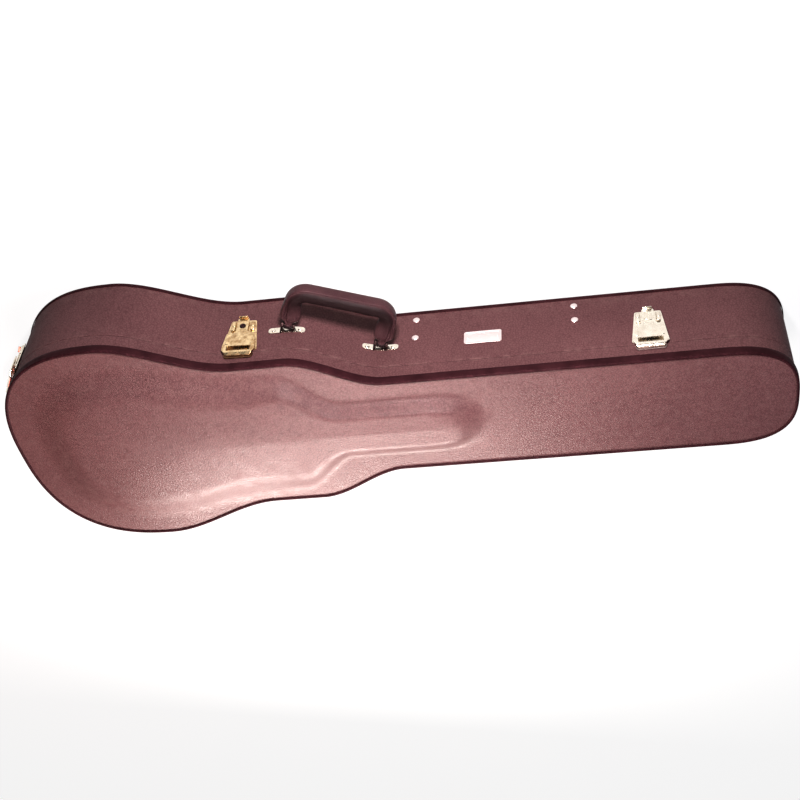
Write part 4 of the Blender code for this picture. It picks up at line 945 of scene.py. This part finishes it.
def latch(name, material):
    """Plate, pin, lever, claw and strike of one draw latch, and the lock of the waist's."""
    at = local_frame(*LATCHES[name])
    label = "latch_" + name + "_"
    locks = name == "waist"

    parts = [stamped(cut(mm(17, 43, 3), mm(24, 101, 3)), GAP, FACE, 0.4 * MM)]
    for sign in (-1, 1):
        parts += [
            block(span(sign, 10.3, 16), (FACE - 0.4 * MM, 4.0 * MM), mm(47, 64), 1.3 * MM, 4),
            dome(mm(sign * 13.15, 55.5), 1.9 * MM, 3.9 * MM, 0.9 * MM, 20),
            dome(mm(sign * 17.0, 69.2), 1.7 * MM, FACE - 0.1 * MM, 1.0 * MM, 20),
            block(span(sign, 11.3, 12.5), (FACE - 0.3 * MM, LEVER_PIVOT[0] + 1.6 * MM),
                  mm(82, 86), 0.4 * MM)]
    fit(label + "plate", "stamped", parts, at, material, "base")

    pin = barrel(*mm(-12.7, 12.7), [mm(0.1, 0), mm(0.7, 0), mm(1.0, 0.4)], 20, LEVER_PIVOT)
    fit(label + "pin", "turned", [pin], at, M_STEEL, "base")

    outline = cut(mm(7.8, 42.5, 2), mm(7.8, 66.8, 2), mm(11, 70.2, 1.6), mm(11, 85.4, 1))
    holes = [cut(mm(6.3, 68.1, 0.5), mm(6.3, 71.9, 0.5), steps=3)[::-1]]
    if locks:
        holes.append(arc((0.0, LOCK_HEIGHT), 4.3 * MM, 0, 360, 28)[-2::-1])
    parts = [stamped(outline, LEVER_BACK, LEVER_FACE, 0.35 * MM, holes),
             block(mm(-6, 6), (LEVER_BACK, LEVER_FACE + 4 * MM), mm(41.6, 42.9), 0.55 * MM)]
    if not locks:
        parts.append(block(mm(-4.6, 4.6), (LEVER_FACE - 0.4 * MM, LEVER_FACE + 0.7 * MM),
                           mm(47.5, 63.5), 0.7 * MM, 4))
    for sign in (-1, 1):
        parts.append(block(span(sign, 9.8, 11), (LEVER_PIVOT[0] - 1.7 * MM, LEVER_BACK + 0.6 * MM),
                           mm(82.2, 85.2), 0.4 * MM))
    parts.append(barrel(*mm(-6.6, 6.6), [mm(0.1, 0), mm(0.8, 0)], 16, CLAW_PIVOT))
    fit(label + "lever", "stamped", parts, at, material, "lever_" + name)

    outline = cut(mm(19, 72.6, 2.5), mm(22, 97, 4), mm(22, 104, 3), mm(16.5, 112, 3))
    window = cut(mm(16, 97, 1.5), mm(16, 106, 1.5))[::-1]
    claw = stamped(outline, CLAW_BACK, CLAW_FACE, 0.4 * MM, [window])
    slice_across(claw, (0, 0, 1), mm(107.5, 109.0, 110.5))
    for vertex in claw.verts:
        vertex.co.y -= max(0.0, vertex.co.z - CLAW_CURL_FROM) ** 2 / CLAW_CURL
    parts = [claw]
    for sign in (-1, 1):
        parts.append(block(span(sign, 14.6, 18.4), (CLAW_FACE - 0.5 * MM, CLAW_FACE + 0.6 * MM),
                           mm(76, 94), 0.7 * MM, 4))
    parts.append(block(mm(-6, 6), (CLAW_BACK, CLAW_PIVOT[0] + 1.6 * MM), mm(70, 73.8), 0.3 * MM, 2))
    parts.append(barrel(*mm(-6, 6), [mm(1.1, 0), mm(1.6, 0)], 20, CLAW_PIVOT))
    fit(label + "claw", "stamped", parts, at, material, "claw_" + name)

    parts = [stamped(cut(mm(21, 105, 3), mm(18, 114.5, 3)), GAP, FACE, 0.4 * MM),
             block(mm(-14, 14), (FACE - 0.4 * MM, 3.6 * MM), mm(107.2, 109.6), 0.6 * MM)]
    fit(label + "strike", "stamped", parts, at, M_STRIKE_BRASS if locks else M_STRIKE, "lid")

    if locks:
        rise = LEVER_FACE + 0.8 * MM
        plug = lathe([mm(3.6, 3.2), mm(4, 3.5), (4 * MM, rise - 0.3 * MM), (3.7 * MM, rise),
                      (2.9 * MM, rise), (2.7 * MM, rise - 0.25 * MM),
                      (0.1 * MM, rise - 0.25 * MM)], (0.0, LOCK_HEIGHT), "n", 32)
        fit("lock_plug", "turned", [plug], at, M_DARK, "lock")
        # The keyway is a thin near-black block on the plug's face: painted shade for the depth of
        # its slot.
        keyway = block(mm(-0.6, 0.6), (rise - 0.5 * MM, rise - 0.1 * MM), mm(54.6, 59.4),
                       0.1 * MM, 1)
        put("lock_keyway", done(keyway, at), M_BINDING, "lock", ())


# ---- small metal


def small_metal():
    """Rivets and the bare plate on the wall."""
    for divider, x, heights in (("front", 571 * MM, mm(17, 52.5)),
                                ("rear", 783.5 * MM, mm(18, 45.5))):
        for level, height in zip(("low", "high"), heights):
            for side_name, side in (("handle_side", 1), ("hinge_side", -1)):
                at = local_frame((side, 0.0), (0.0, side), (x - LENGTH / 2, NECK_HALF * side))
                head = dome((0.0, height), 4.8 * MM, GAP, 1.8 * MM, 32)
                fit("_".join(("divider_rivet", divider, level, side_name)), "domed", [head], at,
                    M_BARE, "base")
    at = local_frame((1.0, 0.0), (0.0, 1.0), (662 * MM - LENGTH / 2, NECK_HALF))
    outline = cut(mm(25, 51, 3), mm(25, 74, 3), steps=8)
    inner = cut(mm(22.5, 53.5, 1.5), mm(22.5, 71.5, 1.5), steps=8)
    parts = [stamped(outline, GAP, FACE, 0.35 * MM, [inner[::-1]]),
             stamped(inner, GAP, GAP + 0.75 * SHEET, 0.1 * MM)]
    for sign in (-1, 1):
        parts.append(dome(mm(sign * 20, 62.5), 1.1 * MM, GAP + 0.7 * SHEET, 0.6 * MM, 16))
    fit("nameplate", "bare", parts, at, M_BARE, "base")


# ---- hinges


def hinges():
    """Leaves with screws and knuckles, and the pins."""
    point, run = np.array(HINGE_POINT), np.array(HINGE_RUN)
    knuckle = [mm(1.7, 0), mm(2.7, 0), mm(3, 0.3)]
    leaves = (
        ("base_leaf", "base", -1, ((-HINGE_HALF, -HINGE_MIDDLE - GAP),
                                   (HINGE_MIDDLE + GAP, HINGE_HALF))),
        ("lid_leaf", "lid", 1, ((-HINGE_MIDDLE, HINGE_MIDDLE),)))
    for name, x in HINGES.items():
        goal = np.array([x - LENGTH / 2, -float(half_width(x))])
        place = point + run * (goal - point).dot(run)
        at = local_frame(-run, (run[1], -run[0]), place, PARTING)
        line = wall_line(at, -1)
        label = "hinge_" + name + "_"
        for leaf, body, sign, knuckles in leaves:
            low, high = span(sign, 2.2, 21.2)
            low_round, high_round = mm(0.4, 4)[::sign]
            outline = cut((HINGE_HALF, low, low_round), (HINGE_HALF, high, high_round))
            parts = [stamped(outline, GAP, FACE, 0.35 * MM, bend=line, cuts=15)]
            for u in mm(-15, 0, 15):
                screw = (u, sign * (14.5 if u else 9.5) * MM)
                parts.append(dome(screw, 2.6 * MM, line(u) + FACE - 0.1 * MM, 1.1 * MM, 24))
            for start, end in knuckles:
                foot = line(0.5 * (start + end)) + GAP + 0.6 * MM
                parts += [barrel(start, end, knuckle, 24),
                          block((start, end), (foot, -0.9 * MM), span(sign, 0.6, 4.6), 0.5 * MM)]
            fit(label + leaf, "plated", parts, at, M_NICKEL, body)
        pin = barrel(-HINGE_HALF, HINGE_HALF, [mm(0.1, 0), mm(1.1, 0), mm(1.4, 0.4)], 20)
        fit(label + "pin", "turned", [pin], at, M_STEEL, "base")


# ---- padding


def soft_copy(node, voxel):
    """Fine even mesh of a CAD solid with its edges softened."""
    mesh_data = NODES[node].data.copy()
    spare = link("spare", mesh_data)
    remesh = spare.modifiers.new("remesh", "REMESH")
    remesh.mode = "VOXEL"
    remesh.voxel_size = voxel
    smoother = spare.modifiers.new("soften", "SMOOTH")
    smoother.factor = 0.6
    smoother.iterations = 6
    graph = bpy.context.evaluated_depsgraph_get()
    result = bpy.data.meshes.new_from_object(spare.evaluated_get(graph))
    bpy.data.objects.remove(spare)
    bpy.data.meshes.remove(mesh_data)
    return result


def waves(co, size, seed):
    """Slow uneven swell of a hand-laid pad."""
    rng = np.random.default_rng(seed)
    total = np.zeros(len(co))
    for _ in range(9):
        direction = rng.normal(size=3)
        direction /= np.linalg.norm(direction)
        length = size * rng.uniform(0.6, 1.6)
        total += np.sin(co @ direction * (2 * math.pi / length) + rng.uniform(0, 6.28))
    return total / 9.0


def pad(node, body, voxel, swell, seed):
    """Plush-covered foam in the space of its CAD solid."""
    mesh_data = soft_copy(node, voxel)
    co = vertices(mesh_data)
    normals = np.array([v.normal for v in mesh_data.vertices])
    lo, hi = (np.array(c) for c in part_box(node))
    co = co + normals * (swell * (0.4 + waves(co, 60 * MM, seed)))[:, None]
    co = np.clip(co, lo - mm(0.2, 0.2, 0), hi + mm(0.2, 0.2, 0.9))
    mesh_data.vertices.foreach_set("co", co.ravel())
    mesh_data.update()
    piece = put(node + "_plush", mesh_data, M_PLUSH, body, [node], angle=80)


def strap(node, body):
    """Stitched pull strap in the space of its CAD solid."""
    lo, hi = (np.array(c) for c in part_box(node))
    size = hi - lo
    thin, long = int(np.argmin(size)), int(np.argmax(size))
    wide = 3 - thin - long
    bm = bmesh.new()
    bmesh.ops.create_cube(bm, size=1.0)
    bmesh.ops.subdivide_edges(bm, edges=bm.edges[:], cuts=11, use_grid_fill=True)
    co = np.array([v.co for v in bm.verts])
    across, run, depth = co[:, wide], co[:, long], co[:, thin]
    waist = 1.0 - 0.06 * np.exp(-(run / 0.22) ** 2)
    crown = 1.0 - 0.35 * np.abs(2 * across) ** 6 - 0.25 * np.abs(2 * run) ** 10
    seam = 0.14 * (np.exp(-((np.abs(across) - 0.38) / 0.03) ** 2) * (np.abs(run) < 0.44))
    new = np.zeros_like(co)
    new[:, wide] = across * size[wide] * waist
    new[:, long] = run * size[long]
    new[:, thin] = depth * size[thin] * (crown - seam)
    new += 0.5 * (lo + hi)
    for vertex, place in zip(bm.verts, new):
        vertex.co = place
    put(node + "_stitched", done(bm), M_STRAP, body, [node], angle=60)


def inside():
    """Padding, dividers, hatch and the lid's lining."""
    for node, body, voxel, swell, fill, seed in (
            ("body_surround", "base", 5, 0.8, 0.85, 3),
            ("body_floor_pad", "base", 4, 0.7, 0.7, 5),
            ("head_surround", "base", 4, 0.7, 0.85, 7),
            ("head_floor_pad", "base", 4, 0.6, 0.7, 9),
            ("neck_rest", "base", 2.5, 0.3, 0.9, 11),
            ("rear_divider", "base", 2.5, 0.3, 0.9, 13),
            ("compartment_hatch", "hatch", 2, 0.15, 0.9, 17)):
        pad(node, body, voxel * MM, swell * MM, seed)
    strap("hatch_pull_tab", "hatch")

    def top(x, y):
        return DEPTH - LID_TOP - GAP + lid_rise(x, y, 3 * MM)

    def under(x, y):
        wall = np.clip((half_width(x + LENGTH / 2) - WALL - np.abs(y)) / (9 * MM), 0.0, 1.0)
        edge = np.sqrt(np.clip(1.0 - (1.0 - wall) ** 2, 0.0, 1.0))
        flat = np.stack([x.ravel(), y.ravel(), 0 * x.ravel()], 1)
        uneven = 0.5 * waves(flat, 70 * MM, 21).reshape(x.shape)
        return top(x, y) - 1.2 * MM - (3.8 + uneven) * MM * edge

    lining = grid_sheet(-WALL - 0.5 * MM, 64, top, under)
    piece = put("lid_lining_plush", lining, M_PLUSH, "lid", ["lid_lining"], angle=80)


def plain_nodes():
    """Finishes of the CAD solids whose shape stays."""
    for node, material in (("base_lip", M_PLY), ("compartment_ledge", M_PLY),
                           ("compartment_rod", M_STEEL)):
        data = NODES[node].data
        data.materials.clear()
        data.materials.append(material)


# ---- stage


def area(name, place, aim, size, power, colour, spread=180):
    """Soft box at a place, turned towards a point."""
    light = bpy.data.lights.new(name, "AREA")
    light.shape = "RECTANGLE"
    light.size, light.size_y = size
    light.energy = power
    light.color = colour
    light.spread = math.radians(spread)
    lamp = link(name, light)
    lamp.location = place
    lamp.rotation_euler = (Vector(aim) - Vector(place)).to_track_quat("-Z", "Y").to_euler()


def stage():
    """Pale floor, soft lights and the camera at the photograph's angle."""
    bm = bmesh.new()
    bmesh.ops.create_grid(bm, x_segments=4, y_segments=4, size=6.0)
    for vertex in bm.verts:
        vertex.co.z = -0.4 * MM
    floor = link("floor", done(bm))
    s = Shader("floor_pale", Roughness=0.95, Specular_IOR_Level=0.1,
               Emission_Color=(1.0, 1.0, 1.0, 1.0), Emission_Strength=0.90)
    tone = s.mix(s.ramp(s.noise(3.0, 3.0), 0.3, 0.7), (0.09, 0.09, 0.09), (0.10, 0.10, 0.10))
    floor.data.materials.append(s.set(Base_Color=tone))

    scene = bpy.context.scene
    scene.world = bpy.data.worlds.new("studio")
    scene.world.use_nodes = True
    sky = scene.world.node_tree.nodes["Background"].inputs
    sky["Color"].default_value = (1.0, 0.96, 0.97, 1.0)
    sky["Strength"].default_value = 0.06

    area("lid_box", (-0.21, -0.73, 0.47), (-0.08, -0.12, 0.14), (0.7, 0.18), 23.5,
         (1.0, 0.92, 0.86))
    area("fill_box", (0.0, 0.06, 0.95), (0.0, -0.02, 0.14), (0.5, 0.3), 5.5, (1.0, 0.94, 0.90),
         110)
    area("cool_box", (1.1, -0.2, 0.8), (0.4, 0.0, 0.1), (0.5, 0.5), 3, (0.62, 0.62, 1.0))
    area("warm_box", (-1.1, -0.4, 0.8), (-0.4, -0.1, 0.1), (0.5, 0.5), 2.5, (1.0, 0.35, 0.30))
    area("key_box", (0.14, 0.80, 0.48), (0.0, 0.1, 0.07), (0.12, 0.12), 19, (1.0, 0.95, 0.95))

    camera = bpy.data.cameras.new("camera")
    camera.lens = 57.15
    camera.sensor_width = 36.0
    camera.sensor_fit = "HORIZONTAL"
    camera.clip_start = 0.05
    eye = link("camera", camera)
    eye.matrix_world = Matrix((
        (0.98377, 0.08194, 0.15966, 0.28666),
        (-0.17106, 0.69714, 0.69623, 1.21323),
        (-0.05425, -0.71224, 0.69984, 1.30339),
        (0.0, 0.0, 0.0, 1.0)))
    scene.camera = eye
    scene.view_settings.view_transform = "Standard"
    scene.view_settings.look = "None"
    scene.view_settings.gamma = 0.78


shell()
lid()
handle()
latch("butt", M_NICKEL)
latch("waist", M_BRASS)
latch("neck", M_NICKEL)
small_metal()
hinges()
inside()
plain_nodes()
stage()
